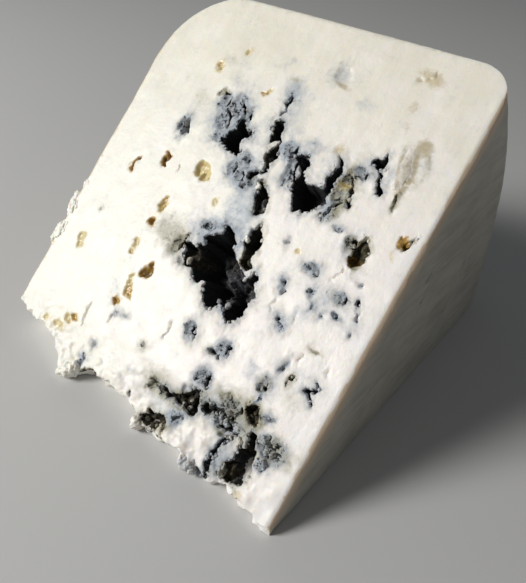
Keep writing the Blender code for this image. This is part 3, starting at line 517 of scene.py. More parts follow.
# Rows of stains give along, across, length, width, strength, turn and tone. These are faint blue-grey to
# olive patches.
MOULD_STAINS = each(
    Stain,
    (72.6, 9.5, 5.4, 0.9, 0.95, 16, 1.0), (67.3, 8.9, 6.6, 0.9, 0.9, -1, 1.0),
    (73.2, 7.2, 5.0, 0.8, 0.75, 21, 1.0), (69.7, 6.7, 3.7, 0.7, 0.6, -8, 1.0),
    (75.4, 9.3, 2.4, 2.4, 0.6, 0, 1.0), (5.9, 14.3, 6.0, 3.4, 0.85), (6.8, 28.6, 4.0, 4.0, 0.75, 0, 0.3),
    (1.1, 17.7, 3.0, 3.0, 0.8, 0, 0.2), (5.7, 22.4, 3.0, 2.0, 0.35, 0, 0.2),
    (23.5, 17.3, 4.0, 4.0, 0.45, 0, 0.1), (17.4, 18.2, 3.0, 5.0, 0.7, 0, 0.8),
    (23.1, 8.3, 4.0, 4.0, 0.35, 0, 0.6), (26.6, 13.4, 5.0, 2.0, 0.55, 0, 0.2), (60.0, 42.8, 5.0, 4.6, 0.85),
    (56.3, 42.4, 5.0, 4.6, 0.88), (69.1, 36.2, 6.0, 4.0, 0.45), (65.7, 35.2, 4.0, 4.0, 0.85),
    (62.0, 32.1, 6.0, 3.0, 0.9), (58.5, 33.9, 5.0, 4.0, 0.45), (52.8, 38.7, 6.0, 5.0, 0.66),
    (49.0, 38.7, 6.0, 5.0, 0.75), (45.3, 42.2, 3.0, 5.0, 0.85), (49.7, 34.9, 5.0, 4.0, 0.55),
    (44.8, 33.7, 5.0, 2.6, 0.55), (67.9, 30.5, 3.0, 6.0, 0.6), (64.7, 52.3, 4.0, 3.0, 0.8),
    (68.2, 12.5, 5.0, 1.8, 0.45), (58.6, 20.6, 4.0, 4.0, 0.7), (70.4, 10.6, 9.0, 3.6, 0.36, 8, 0.9),
    (72.6, 12.4, 3.6, 1.2, 0.55, 10, 0.6), (68.8, 11.9, 4.6, 1.4, 0.5, 14, 0.3),
    (64.0, 9.3, 3.4, 1.4, 0.75, 8, 1.0), (71.2, 7.0, 5.6, 2.2, 0.34, 8, 0.2), (77.8, 40.9, 4.6, 4.6, 0.75),
    (79.8, 41.7, 1.4, 2.2, 0.8, 0, 0.9), (72.3, 37.8, 8.0, 5.0, 0.51), (68.0, 51.8, 11.0, 10.0, 0.8),
    (66.4, 43.2, 10.0, 6.0, 0.41), (58.5, 42.7, 9.0, 8.0, 0.61), (52.6, 38.6, 9.0, 6.0, 0.72),
    (47.7, 36.0, 6.0, 5.0, 0.72), (43.3, 43.3, 6.0, 8.0, 0.7), (39.7, 51.5, 6.0, 7.6, 0.85, 10, 0.85),
    (36.4, 48.6, 4.0, 5.0, 0.6, 0, 0.6), (31.2, 30.5, 3.4, 4.4, 0.7), (66.0, 32.8, 5.0, 6.0, 0.6),
    (61.0, 32.5, 8.0, 4.0, 0.5), (65.2, 26.2, 7.0, 5.6, 0.3), (62.8, 19.7, 11.0, 4.6, 0.75, 0, 0.55),
    (57.1, 19.8, 4.0, 4.4, 0.55, 0, 0.3), (67.3, 17.9, 4.0, 6.0, 0.55, 0, 0.3), (68.9, 12.0, 8.0, 4.0, 0.35),
    (84.1, 32.8, 4.6, 5.6, 0.5, 0, 0.35), (83.7, 35.3, 4.0, 1.6, 0.45, 20, 0.5),
    (79.5, 24.6, 3.4, 3.4, 0.42, 0, 0.2), (84.0, 44.7, 1.4, 1.6, 0.42), (82.8, 45.9, 3.0, 4.0, 0.18),
    (90.2, 26.4, 2.0, 6.0, 0.14, 0, 0.6), (77.3, 55.9, 4.0, 4.0, 0.29), (79.7, 59.7, 3.4, 3.0, 0.35, 0, 1.0),
    (69.2, 61.4, 3.0, 4.0, 0.45, 0, 0.7), (62.6, 62.4, 7.0, 4.4, 0.5), (71.8, 69.3, 3.0, 3.0, 0.14, 0, 0.5),
    (56.5, 61.1, 8.0, 3.0, 0.16, 0, 0.6), (53.2, 13.3, 6.0, 3.6, 0.6), (48.7, 9.3, 5.0, 3.4, 0.4, 0, 0.5),
    (55.5, 16.8, 3.0, 4.0, 0.4), (45.9, 17.6, 2.6, 5.0, 0.6, 0, 0.2), (41.2, 21.7, 3.8, 3.4, 0.45),
    (34.0, 18.0, 4.0, 4.6, 0.45), (43.4, 10.0, 4.0, 4.6, 0.62, 0, 0.4), (41.4, 13.2, 6.0, 7.0, 0.45),
    (40.3, 6.9, 6.0, 7.0, 0.4), (37.9, 14.7, 5.0, 3.4, 0.5, -30), (33.5, 9.2, 3.0, 4.0, 0.3, 0, 0.8),
    (26.3, 6.8, 6.0, 6.0, 0.36), (24.3, 9.7, 5.0, 4.6, 0.26, 0, 0.9), (22.5, 13.8, 5.4, 5.0, 0.7, 0, 0.45),
    (27.0, 12.9, 5.0, 2.4, 0.45, 0, 0.3), (24.2, 25.9, 4.4, 4.0, 0.7), (22.6, 28.0, 2.4, 2.4, 0.55, 0, 0.5),
    (23.7, 34.6, 5.6, 4.0, 0.35), (17.3, 26.8, 5.0, 4.6, 0.75), (10.0, 42.0, 2.0, 5.0, 0.35),
    (15.6, 43.2, 3.4, 3.0, 0.3, 0, 0.8), (18.7, 53.3, 3.0, 7.0, 0.38, 0, 0.3),
    (22.6, 56.7, 5.0, 5.0, 0.24, 0, 0.2), (40.7, 60.3, 8.0, 3.4, 0.16, 0, 0.7), (35.4, 56.4, 4.0, 6.0, 0.14),
    (29.5, 55.4, 5.0, 5.0, 0.16), (6.1, 55.9, 3.0, 3.0, 0.45), (8.5, 31.7, 4.4, 8.0, 0.42),
    (14.1, 18.9, 7.0, 11.0, 0.95, 0, 0.5), (15.1, 13.4, 8.0, 7.0, 0.85, 0, 0.6),
    (13.0, 6.7, 5.0, 8.0, 0.9, 0, 0.6), (10.4, 29.0, 4.0, 12.0, 0.8, 0, 0.6), (10.1, 6.7, 3.6, 3.4, 0.6),
    (11.4, 34.7, 4.0, 7.0, 0.6, 0, 0.6), (6.3, 15.5, 9.0, 4.4, 0.55, 12), (1.2, 20.6, 3.6, 3.8, 0.8),
    (11.5, 22.8, 2.6, 4.0, 0.4),
)

# Faint straw to brown patches.
STRAW_STAINS = each(
    Stain,
    (54.5, 4.8, 2.0, 0.8, 0.9, 30, 0.1), (88.5, 14.6, 2.6, 5.6, 0.85, -18, 0.55),
    (89.4, 14.1, 1.4, 1.8, 0.95, -30, 0.8), (87.6, 16.9, 1.2, 1.4, 0.85, 0, 0.7),
    (82.0, 15.1, 2.4, 2.2, 0.6, 0, 0.7), (77.6, 14.1, 3.4, 1.6, 0.45, 20, 0.9),
    (69.8, 9.6, 12.0, 4.6, 0.26, 6, 0.3), (75.2, 9.4, 3.0, 3.0, 1.0, 0, 0.75),
    (70.8, 10.4, 5.2, 2.0, 0.5, 12, 0.9), (72.1, 9.4, 3.4, 0.9, 1.0, 24, 0.9),
    (69.2, 8.7, 3.6, 0.9, 1.0, 3, 0.9), (66.8, 9.1, 2.6, 0.9, 1.0, -24, 0.9),
    (71.9, 12.2, 2.6, 0.8, 0.9, 8, 1.0), (69.5, 11.6, 3.0, 0.8, 0.9, 18, 1.0),
    (67.2, 10.7, 2.8, 0.8, 0.95, 24, 1.0), (69.4, 24.7, 2.2, 2.2, 0.85, 0, 0.5),
    (81.8, 31.0, 1.0, 3.4, 1.0, -12, 0.9), (85.6, 34.0, 3.4, 0.8, 0.6, 10, 0.8),
    (2.6, 8.4, 1.8, 2.0, 0.9, 0, 0.5), (26.7, 20.6, 4.0, 2.4, 0.22, -30, 0.2),
    (32.1, 9.0, 2.6, 2.4, 0.35, 0, 0.2), (22.7, 9.1, 4.0, 4.0, 0.2, 0, 0.5),
    (49.3, 4.4, 1.6, 1.6, 0.3, 0, 0.5), (6.0, 24.3, 4.0, 3.0, 0.22, 0, 0.2), (8.5, 68.2, 3.0, 9.0, 0.3),
    (27.9, 59.2, 5.0, 3.4, 0.2), (76.8, 19.4, 1.2, 2.0, 0.3, 0, 0.4), (30.8, 63.8, 8.0, 6.0, 0.08),
    (82.7, 36.7, 4.0, 1.0, 0.3, 14, 0.2),
)

# Lumps along the crumbled thin edge.
THIN_EDGE_LUMPS = lumps(
    (1.6, 22.0, 2.4, 2.0, 1.3, 20, -0.7), (1.7, 20.2, 2.4, 2.0, 1.5, -30, -0.6),
    (0.9, 19.3, 1.8, 1.6, 1.2, 10, -1.0), (0.7, 21.2, 2.0, 2.2, 1.3, 40, -1.2),
    (1.6, 57.7, 3.2, 4.4, 2.0, 30, -1.0), (0.7, 59.1, 2.0, 2.6, 1.4, 60, -1.0),
    (3.0, 56.3, 3.4, 2.2, 1.8, 0, -0.9), (14.3, 17.9, 1.6, 1.8, 1.4, 0, -1.0),
    (14.9, 16.3, 2.2, 1.6, 1.6, 0, -1.1), (12.9, 14.7, 1.4, 1.6, 1.4, 0, -1.0),
    (15.4, 20.5, 1.6, 2.0, 1.2, 0, -0.6), (12.1, 17.3, 1.4, 1.6, 1.4, 0, -1.4),
    (11.0, 13.1, 2.6, 1.6, 1.6, 20, -0.9), (13.5, 9.0, 1.6, 2.0, 1.4, 0, -1.0),
    (12.6, 6.3, 2.0, 2.0, 1.4, 0, -0.8), (10.1, 7.2, 2.6, 2.6, 1.8, 0, -0.9),
    (4.4, 13.5, 2.6, 1.8, 1.6, 0, -0.9), (3.4, 29.2, 2.6, 2.4, 1.6, 0, -1.2),
    (1.6, 35.4, 3.0, 2.4, 1.8, 10, -1.0), (16.0, 26.8, 3.2, 2.2, 1.4, 0, -1.3),
)

# Clean white beads at the hollows' rims.
BEADS = lumps(
    (45.3, 33.2, 1.1, 1.1, 0.6, 0, -0.3), (56.3, 37.0, 1.0, 1.0, 0.55, 0, -0.2),
)

# Crumbs at the hollows' rims, and last the flat lens near the right edge.
RIM_CRUMBS = lumps(
    (31.8, 29.7, 1.5, 1.2, 0.9, 0, -0.6), (31.7, 32.1, 1.0, 1.2, 0.8, 0, -0.7),
    (39.6, 28.9, 1.8, 1.6, 1.0, 0, -0.7), (36.0, 43.3, 2.0, 1.4, 1.0, 0, -0.9),
    (40.8, 42.1, 1.4, 1.2, 0.8, 0, -0.5), (5.8, 9.6, 1.2, 0.8, 0.8, 0, -1.0),
    (70.1, 10.9, 9.4, 3.0, 0.55, 7, -0.26),
)

# Flakes that stand at the far end of the face.
FAR_FLAKES = lumps(
    (34.3, 80.2, 5.6, 3.2, 1.0, 14, -0.6), (36.5, 80.8, 2.6, 2.2, 0.8, 40, -0.6),
    (27.4, 80.0, 6.6, 3.4, 1.0, -8, -0.7), (25.2, 80.7, 2.4, 2.0, 0.8, -30, -0.7),
    (40.2, 79.8, 3.0, 2.2, 1.0, 10, -0.8),
)

# Where the crumbled thin edge leaves the upper cut face: distance across, then loss along.
THIN_EDGE_OUTLINE = (
    (-6.0, 1.8), (-0.4, 1.8), (1.2, 1.2), (4.0, 1.0), (8.0, 1.9), (10.6, 2.0), (11.6, 3.4), (13.4, 3.4),
    (14.6, 2.0), (17.8, 2.0), (22.7, 2.5), (34.6, 2.4), (37.6, 4.1), (42.6, 5.5), (48.0, 4.6), (53.5, 5.1),
    (56.5, 1.8), (60.0, 1.7), (64.5, 4.8), (68.5, 6.7), (73.6, 7.6), (78.8, 8.5), (88.0, 9.9),
)


class Value:
    """A number in a shader. Arithmetic on it adds Math nodes."""

    def __init__(self, graph: "Graph", socket: bpy.types.NodeSocket) -> None:
        """Wrap an output socket.

        Args:
            graph: The graph that new nodes go in.
            socket: The output socket that carries the number.
        """
        self.graph = graph
        self.socket = socket

    def __add__(self, other: "Number") -> "Value":
        """Return the sum."""
        return self.graph.math("ADD", self, other)

    def __radd__(self, other: "Number") -> "Value":
        """Return the sum, with this value second."""
        return self.graph.math("ADD", other, self)

    def __sub__(self, other: "Number") -> "Value":
        """Return the difference."""
        return self.graph.math("SUBTRACT", self, other)

    def __rsub__(self, other: "Number") -> "Value":
        """Return the difference, with this value second."""
        return self.graph.math("SUBTRACT", other, self)

    def __mul__(self, other: "Number") -> "Value":
        """Return the product."""
        return self.graph.math("MULTIPLY", self, other)

    def __rmul__(self, other: "Number") -> "Value":
        """Return the product, with this value second."""
        return self.graph.math("MULTIPLY", other, self)

    def clamp(self) -> "Value":
        """Return the value kept between 0 and 1."""
        return self.graph.math("MINIMUM", self.graph.math("MAXIMUM", self, 0.0), 1.0)

    def rise(self, low: float, high: float) -> "Value":
        """Return a smooth step.

        Args:
            low: The value at which it is 0.
            high: The value at which it is 1.

        Returns:
            The step, from 0 to 1.
        """
        settings = {"interpolation_type": "SMOOTHSTEP"}
        inputs = {"Value": self, "From Min": low, "From Max": high}
        return Value(self.graph, self.graph.add("ShaderNodeMapRange", settings, inputs).outputs["Result"])


Number = Value | float


class Graph:
    """The node graph of one material."""

    def __init__(self, material: bpy.types.Material) -> None:
        """Take over a material's nodes.

        Args:
            material: A material that uses nodes.
        """
        self.tree = material.node_tree
        self.tree.nodes.clear()

    def add(self, kind: str, settings: dict | None = None, inputs: dict | None = None) -> bpy.types.Node:
        """Add a node.

        Args:
            kind: The node's type.
            settings: Its properties, set before its sockets.
            inputs: Values or links for its sockets, by name or index.

        Returns:
            The new node.
        """
        node = self.tree.nodes.new(kind)
        for name, setting in (settings or {}).items():
            setattr(node, name, setting)
        for name, value in (inputs or {}).items():
            self.feed(node.inputs[name], value)
        return node

    def feed(self, socket: bpy.types.NodeSocket, value: object) -> None:
        """Set an input socket to a constant, or link it to what carries its value.

        Args:
            socket: The input socket.
            value: A constant, a socket or a value in the graph.
        """
        if isinstance(value, Value):
            self.tree.links.new(value.socket, socket)
        elif isinstance(value, bpy.types.NodeSocket):
            self.tree.links.new(value, socket)
        else:
            socket.default_value = value

    def math(self, operation: str, first: Number, second: Number) -> Value:
        """Return the result of one Math node."""
        node = self.add("ShaderNodeMath", {"operation": operation}, {0: first, 1: second})
        return Value(self, node.outputs[0])

    def attribute(self, name: str) -> Value:
        """Return a number that the mesh carries at its points."""
        node = self.add("ShaderNodeAttribute", {"attribute_type": "GEOMETRY", "attribute_name": name})
        return Value(self, node.outputs["Fac"])

    def noise(self, place: bpy.types.NodeSocket, size: float, detail: float, rough: float = 0.5) -> Value:
        """Return even noise round zero.

        Args:
            place: Coordinates in metres.
            size: Width of its largest features in millimetres.
            detail: Octaves.
            rough: Strength of each octave against the last.

        Returns:
            The noise, from about -0.5 to 0.5.
        """
        inputs = {"Vector": place, "Scale": 1.0 / (size * MM), "Detail": detail, "Roughness": rough}
        return Value(self, self.add("ShaderNodeTexNoise", None, inputs).outputs[0]) - 0.5

    def cracks(self, place: bpy.types.NodeSocket, size: float) -> Value:
        """Return the distance to a net of fine cracks.

        Args:
            place: Coordinates in metres.
            size: Width of the net's mesh in millimetres.

        Returns:
            The distance, as a share of the mesh.
        """
        settings = {"feature": "DISTANCE_TO_EDGE"}
        inputs = {"Vector": place, "Scale": 1.0 / (size * MM)}
        return Value(self, self.add("ShaderNodeTexVoronoi", settings, inputs).outputs["Distance"])

    def mix(self, share: Number, first: object, second: object) -> bpy.types.NodeSocket:
        """Return a colour between two colours.

        Args:
            share: How much of the second there is, from 0 to 1.
            first: A colour, or a socket that carries one.
            second: A colour, or a socket that carries one.

        Returns:
            The socket that carries the mixed colour.
        """
        node = self.add("ShaderNodeMix", {"data_type": "RGBA"})
        self.feed(node.inputs[0], share)
        for index, colour in ((6, first), (7, second)):
            self.feed(node.inputs[index], (*colour, 1.0) if isinstance(colour, tuple) else colour)
        return node.outputs[2]


@dataclass(frozen=True)
class Unevenness:
    """The noises that break up the finish, from the coarsest to the finest, and two that are drawn out."""

    patch: Value
    curd: Value
    grain: Value
    speck: Value
    streak: Value
    layer: Value


@dataclass(frozen=True)
class CheeseFinish:
    """The finish of the whole wedge, driven by what its mesh carries at its points."""

    ivory_paste: Colour = (0.925, 0.905, 0.800)
    rosy_paste: Colour = (0.925, 0.872, 0.825)
    pale_paste: Colour = (0.935, 0.915, 0.860)
    cool_paste: Colour = (0.875, 0.890, 0.900)
    dry_paste: Colour = (0.830, 0.795, 0.680)
    bruise: Colour = (0.430, 0.455, 0.475)
    blue_bruise: Colour = (0.400, 0.460, 0.530)
    olive_bruise: Colour = (0.440, 0.425, 0.330)
    blue_mould: Colour = (0.400, 0.425, 0.440)
    olive_mould: Colour = (0.300, 0.285, 0.215)
    dark_mould: Colour = (0.018, 0.020, 0.025)
    # The next two are near-black: painted shade laid over the hollows' dark mould lining as they deepen. The
    # floors' colours are the lining's own.
    hollow_blue_shade: Colour = (0.009, 0.009, 0.011)
    hollow_olive_shade: Colour = (0.018, 0.014, 0.006)
    floor_grey: Colour = (0.120, 0.123, 0.136)
    floor_olive: Colour = (0.105, 0.092, 0.052)
    straw: Colour = (0.700, 0.590, 0.310)
    amber: Colour = (0.460, 0.260, 0.026)
    # brown is the whey's own darkest colour, reached also through the pits' painted shade.
    brown: Colour = (0.140, 0.086, 0.022)
    dusk: Colour = (0.420, 0.350, 0.240)
    # The skin's colours are duller and darker than the paste's: partly the skin's own, partly painted shade
    # on the near flat.
    skin: Colour = (0.600, 0.575, 0.490)
    damp_skin: Colour = (0.430, 0.410, 0.345)
    # A warm band of painted glow, standing in for light that seeps through the translucent edge, laid on the
    # skin just under the upper cut face.
    painted_glow_tan: Colour = (0.800, 0.650, 0.480)
    glow: float = 0.34
    glow_reach_mm: float = 1.5
    glow_colour: Colour = (1.0, 0.72, 0.45)
    bump_mm: float = 0.35

    def material(self, wedge_angle: float) -> bpy.types.Material:
        """Build the material.

        Args:
            wedge_angle: The angle of the upper cut face, in radians, for streaks along it.

        Returns:
            The material.
        """
        material = bpy.data.materials.new("blue_cheese_paste")
        material.use_nodes = True
        graph = Graph(material)
        place = graph.add("ShaderNodeTexCoord").outputs["Object"]
        uneven = self._unevenness(graph, place, wedge_angle)
        skinned = self._skin(graph, self._paste(graph, uneven), uneven)
        colour = self._whey(graph, self._mould(graph, skinned, place, uneven), uneven)

        deep = graph.attribute("deep")
        wet = graph.attribute("whey")
        roughness = 0.40 + 0.35 * deep.rise(0.0, 1.0) + 0.20 * uneven.grain + 0.2 * uneven.curd
        closeness = 1.0 - graph.attribute("mould").rise(0.2, 1.6)
        glossy = roughness + 0.35 * closeness - 0.20 * (1.0 - wet.rise(0.0, 0.5))
        coarse = (0.30 + 0.9 * closeness) * (0.6 * uneven.grain + 0.3 * uneven.speck)
        height = 0.35 * uneven.curd + coarse + 0.25 * uneven.streak
        bump_inputs = {"Strength": 0.8, "Distance": self.bump_mm * MM, "Height": height}
        bump = graph.add("ShaderNodeBump", None, bump_inputs)
        shader_inputs = {
            "Base Color": colour,
            "Roughness": glossy.clamp(),
            "Normal": bump.outputs["Normal"],
            "Subsurface Weight": self.glow,
            "Subsurface Radius": self.glow_colour,
            "Subsurface Scale": self.glow_reach_mm * MM,
            "IOR": 1.42,
        }
        shader = graph.add("ShaderNodeBsdfPrincipled", None, shader_inputs)
        graph.add("ShaderNodeOutputMaterial", None, {"Surface": shader.outputs["BSDF"]})
        return material

    def _unevenness(self, graph: Graph, place: bpy.types.NodeSocket, wedge_angle: float) -> Unevenness:
        """Return the noises that the finish reads.

        Args:
            graph: The material's graph.
            place: Object coordinates.
            wedge_angle: The angle of the upper cut face, in radians.

        Returns:
            The noises.
        """
        settings = {"vector_type": "TEXTURE"}
        along_face = {"Vector": place, "Rotation": (0.0, -wedge_angle, 0.0), "Scale": (6.0, 1.0, 1.0)}
        streaked = graph.add("ShaderNodeMapping", settings, along_face).outputs["Vector"]
        level = {"Vector": place, "Scale": (7.0, 1.0, 1.0)}
        layered = graph.add("ShaderNodeMapping", settings, level).outputs["Vector"]
        return Unevenness(
            patch=graph.noise(place, 9.0, 3.0),
            curd=graph.noise(place, 3.0, 4.0, 0.6),
            grain=graph.noise(place, 1.0, 4.0, 0.65),
            speck=graph.noise(place, 0.42, 3.0, 0.6),
            streak=graph.noise(streaked, 1.6, 3.0, 0.6),
            layer=graph.noise(layered, 1.5, 3.0, 0.6),
        )

    def _paste(self, graph: Graph, uneven: Unevenness) -> bpy.types.NodeSocket:
        """Colour the clean paste: ivory to rosy, with paler curd and drier paste towards the rind.

        Args:
            graph: The material's graph.
            uneven: The noises.

        Returns:
            The colour.
        """
        patch, curd = uneven.patch, uneven.curd
        side = (graph.attribute("across") + 0.8 * patch).rise(0.15, 0.85)
        pale = (0.4 + 1.6 * patch + 0.9 * curd).clamp()
        base = graph.mix(0.6 * pale, graph.mix(side, self.rosy_paste, self.ivory_paste), self.pale_paste)
        edge = 1.0 - (graph.attribute("across") + 0.10 * curd).rise(0.01, 0.08)
        cool = (0.60 * edge + (-2.6 * patch - 0.9 * curd - 0.25)).clamp()
        base = graph.mix(0.62 * cool, base, self.cool_paste)
        dry = (graph.attribute("rind") + 0.8 * patch + 0.4 * uneven.streak).rise(0.55, 1.05)
        return graph.mix(0.9 * dry, base, self.dry_paste)

    def _skin(self, graph: Graph, paste: bpy.types.NodeSocket, uneven: Unevenness) -> bpy.types.NodeSocket:
        """Lay the drum's smooth skin over the paste on its flats and wall, with a warm band of painted glow
        just under the upper cut face.

        Args:
            graph: The material's graph.
            paste: The paste's colour.
            uneven: The noises.

        Returns:
            The colour.
        """
        damp = (0.35 + 1.6 * uneven.patch + 2.4 * uneven.layer).clamp()
        skin = graph.mix(damp, self.skin, self.damp_skin)
        # Painted glow: a warm band on the skin that fades with depth under the upper cut face.
        painted_glow_band = 1.0 - (graph.attribute("under_face") + 3.0 * uneven.streak).rise(0.6, 5.4)
        skin = graph.mix(0.9 * painted_glow_band, skin, self.painted_glow_tan)
        return graph.mix(graph.attribute("skin").rise(0.25, 0.75), paste, skin)

    def _mould(
        self, graph: Graph, base: bpy.types.NodeSocket, place: bpy.types.NodeSocket, uneven: Unevenness
    ) -> bpy.types.NodeSocket:
        """Add the mould: pale bruises round it, its dusty rims and specks, and the dark lining of hollows,
        with painted shade that turns the lining near-black as the hollows deepen.

        Args:
            graph: The material's graph.
            base: The colour without mould.
            place: Object coordinates.
            uneven: The noises.

        Returns:
            The colour.
        """
        curd, grain, speck = uneven.curd, uneven.grain, uneven.speck
        near = graph.attribute("mould")
        stain = graph.attribute("stain")
        deep = graph.attribute("deep")
        tone = (graph.attribute("tone") + 0.9 * curd).rise(0.25, 0.75)
        net = graph.cracks(place, 2.3)
        close = (1.0 - near).clamp()

        halo = 1.0 - (near + 1.1 * curd + 0.5 * grain).rise(-0.3, 0.9)
        faint = (stain + 1.1 * curd + 0.5 * grain).rise(0.0, 0.85)
        cold = graph.mix((0.5 + 2.0 * uneven.patch + 1.0 * curd).clamp(), self.bruise, self.blue_bruise)
        pallor = graph.mix(tone, cold, self.olive_bruise)
        bruised = graph.mix((0.62 * halo + 0.82 * faint).clamp(), base, pallor)

        mould_colour = graph.mix(tone, self.blue_mould, self.olive_mould)
        rim = 1.0 - (near + 0.9 * curd + 0.8 * grain + 0.4 * speck).rise(-0.10, 0.28)
        patchy = (0.42 + 2.1 * grain + 1.5 * curd + 0.9 * speck).clamp()
        dense = (stain + 1.7 * grain + 1.0 * speck + 1.0 * curd).rise(0.55, 1.30)
        moulded = graph.mix((0.95 * patchy * rim + 0.62 * dense).clamp(), bruised, mould_colour)

        veined = 0.6 * stain + 0.5 * close + 1.7 * curd - 6.0 * net + 1.5 * grain + 1.0 * speck
        veins = veined.rise(0.25, 0.95)
        specks = (0.30 * stain + 0.8 * close + 2.6 * grain + 1.8 * speck + 1.4 * curd).rise(1.08, 1.42)
        specked = graph.mix((0.36 * veins + 0.88 * specks).clamp(), moulded, self.dark_mould)

        hollow = graph.mix(tone, self.hollow_blue_shade, self.hollow_olive_shade)
        floor = graph.mix(tone, self.floor_grey, self.floor_olive)
        shelf = 0.55 * graph.attribute("shelf")
        lining = graph.mix((shelf + 2.3 * grain + 2.3 * speck + 0.8 * curd).rise(0.25, 1.05), hollow, floor)
        # Painted shade: the deeper a point lies in a hollow, the more it takes the near-black lining. The
        # same mark also darkens the near flat's spots of mould, which are dark in their own right.
        dark = (deep + 1.3 * grain + 0.9 * speck + 0.6 * curd).rise(0.80, 1.60)
        return graph.mix(0.96 * dark, specked, lining)

    def _whey(self, graph: Graph, base: bpy.types.NodeSocket, uneven: Unevenness) -> bpy.types.NodeSocket:
        """Add straw to brown whey in the pits, browner deeper in as painted shade, and faint straw stains.

        Args:
            graph: The material's graph.
            base: The colour without whey.
            uneven: The noises.

        Returns:
            The colour.
        """
        grain, speck = uneven.grain, uneven.speck
        near = graph.attribute("whey")
        # The pit term is painted shade: whey is browner and darker the deeper it lies in its pit.
        tone = graph.attribute("whey_tone") + 0.35 * grain + (0.30 * graph.attribute("pit") - 0.25)
        light = graph.mix(tone.rise(0.0, 0.50), self.straw, self.amber)
        colour = graph.mix((tone + 1.2 * grain + 0.8 * speck).rise(0.55, 1.10), light, self.brown)
        fill = 1.0 - (near + 1.0 * grain + 0.6 * speck).rise(-0.50, 0.85)
        stain = (graph.attribute("straw") + 0.9 * grain + 0.6 * speck).rise(0.15, 0.95)
        straw = graph.mix(graph.attribute("straw_tone"), self.straw, self.dusk)
        stained = graph.mix(0.75 * stain, base, straw)
        return graph.mix(0.95 * fill, stained, colour)


class SoftNoise:
    """Smooth noise over many points at once."""

    TABLE_SIZE = 8192
    PRIMES = np.array((73856093, 19349663, 83492791))

    def __init__(self, seed: int) -> None:
        """Draw the noise's table from a seed."""
        self._table = np.random.default_rng(seed).uniform(-1, 1, self.TABLE_SIZE)

    def at(self, place: np.ndarray, size: float, octaves: int = 1) -> np.ndarray:
        """Return the noise at some points.

        Args:
            place: Points with any number of coordinates.
            size: Width of its largest features.
            octaves: Layers, each half as large and as strong as the last.

        Returns:
            The noise, from about -1 to 1.
        """
        total = np.zeros(len(place))
        for octave in range(octaves):
            total += self._layer(place * 2**octave / size + 17.3 * octave) / 2**octave
        return total

    def _layer(self, place: np.ndarray) -> np.ndarray:
        """Return one layer, blended between the corners of unit cells.

        Args:
            place: Points, as multiples of the layer's feature size.

        Returns:
            The layer's values, from -1 to 1.
        """
        cell = np.floor(place).astype(np.int64)
        part = place - cell
        part = part * part * (3 - 2 * part)
        primes = self.PRIMES[: place.shape[1]]
        total = np.zeros(len(place))
        for corner in np.ndindex(*(2,) * place.shape[1]):
            step = np.array(corner)
            weight = np.where(step == 1, part, 1 - part).prod(axis=1)
            key = np.bitwise_xor.reduce((cell + step) * primes, axis=1)
            total += weight * self._table[(key ^ (key >> 15)) % self.TABLE_SIZE]
        return total


@dataclass
class Reading:
    """What a cut face has at each of some places.

    sink is how far the face lies under its plane, swell how far it stands out of it, mould and whey are
    distances from the nearest hollow's rim as shares of its halo, shelf is 1 on a hollow's raised floor, and
    bottom is the full depth of the mould-lined hollow there.
    """

    sink: np.ndarray
    swell: np.ndarray
    mould: np.ndarray
    tone: np.ndarray
    whey: np.ndarray
    whey_tone: np.ndarray
    shelf: np.ndarray
    bottom: np.ndarray


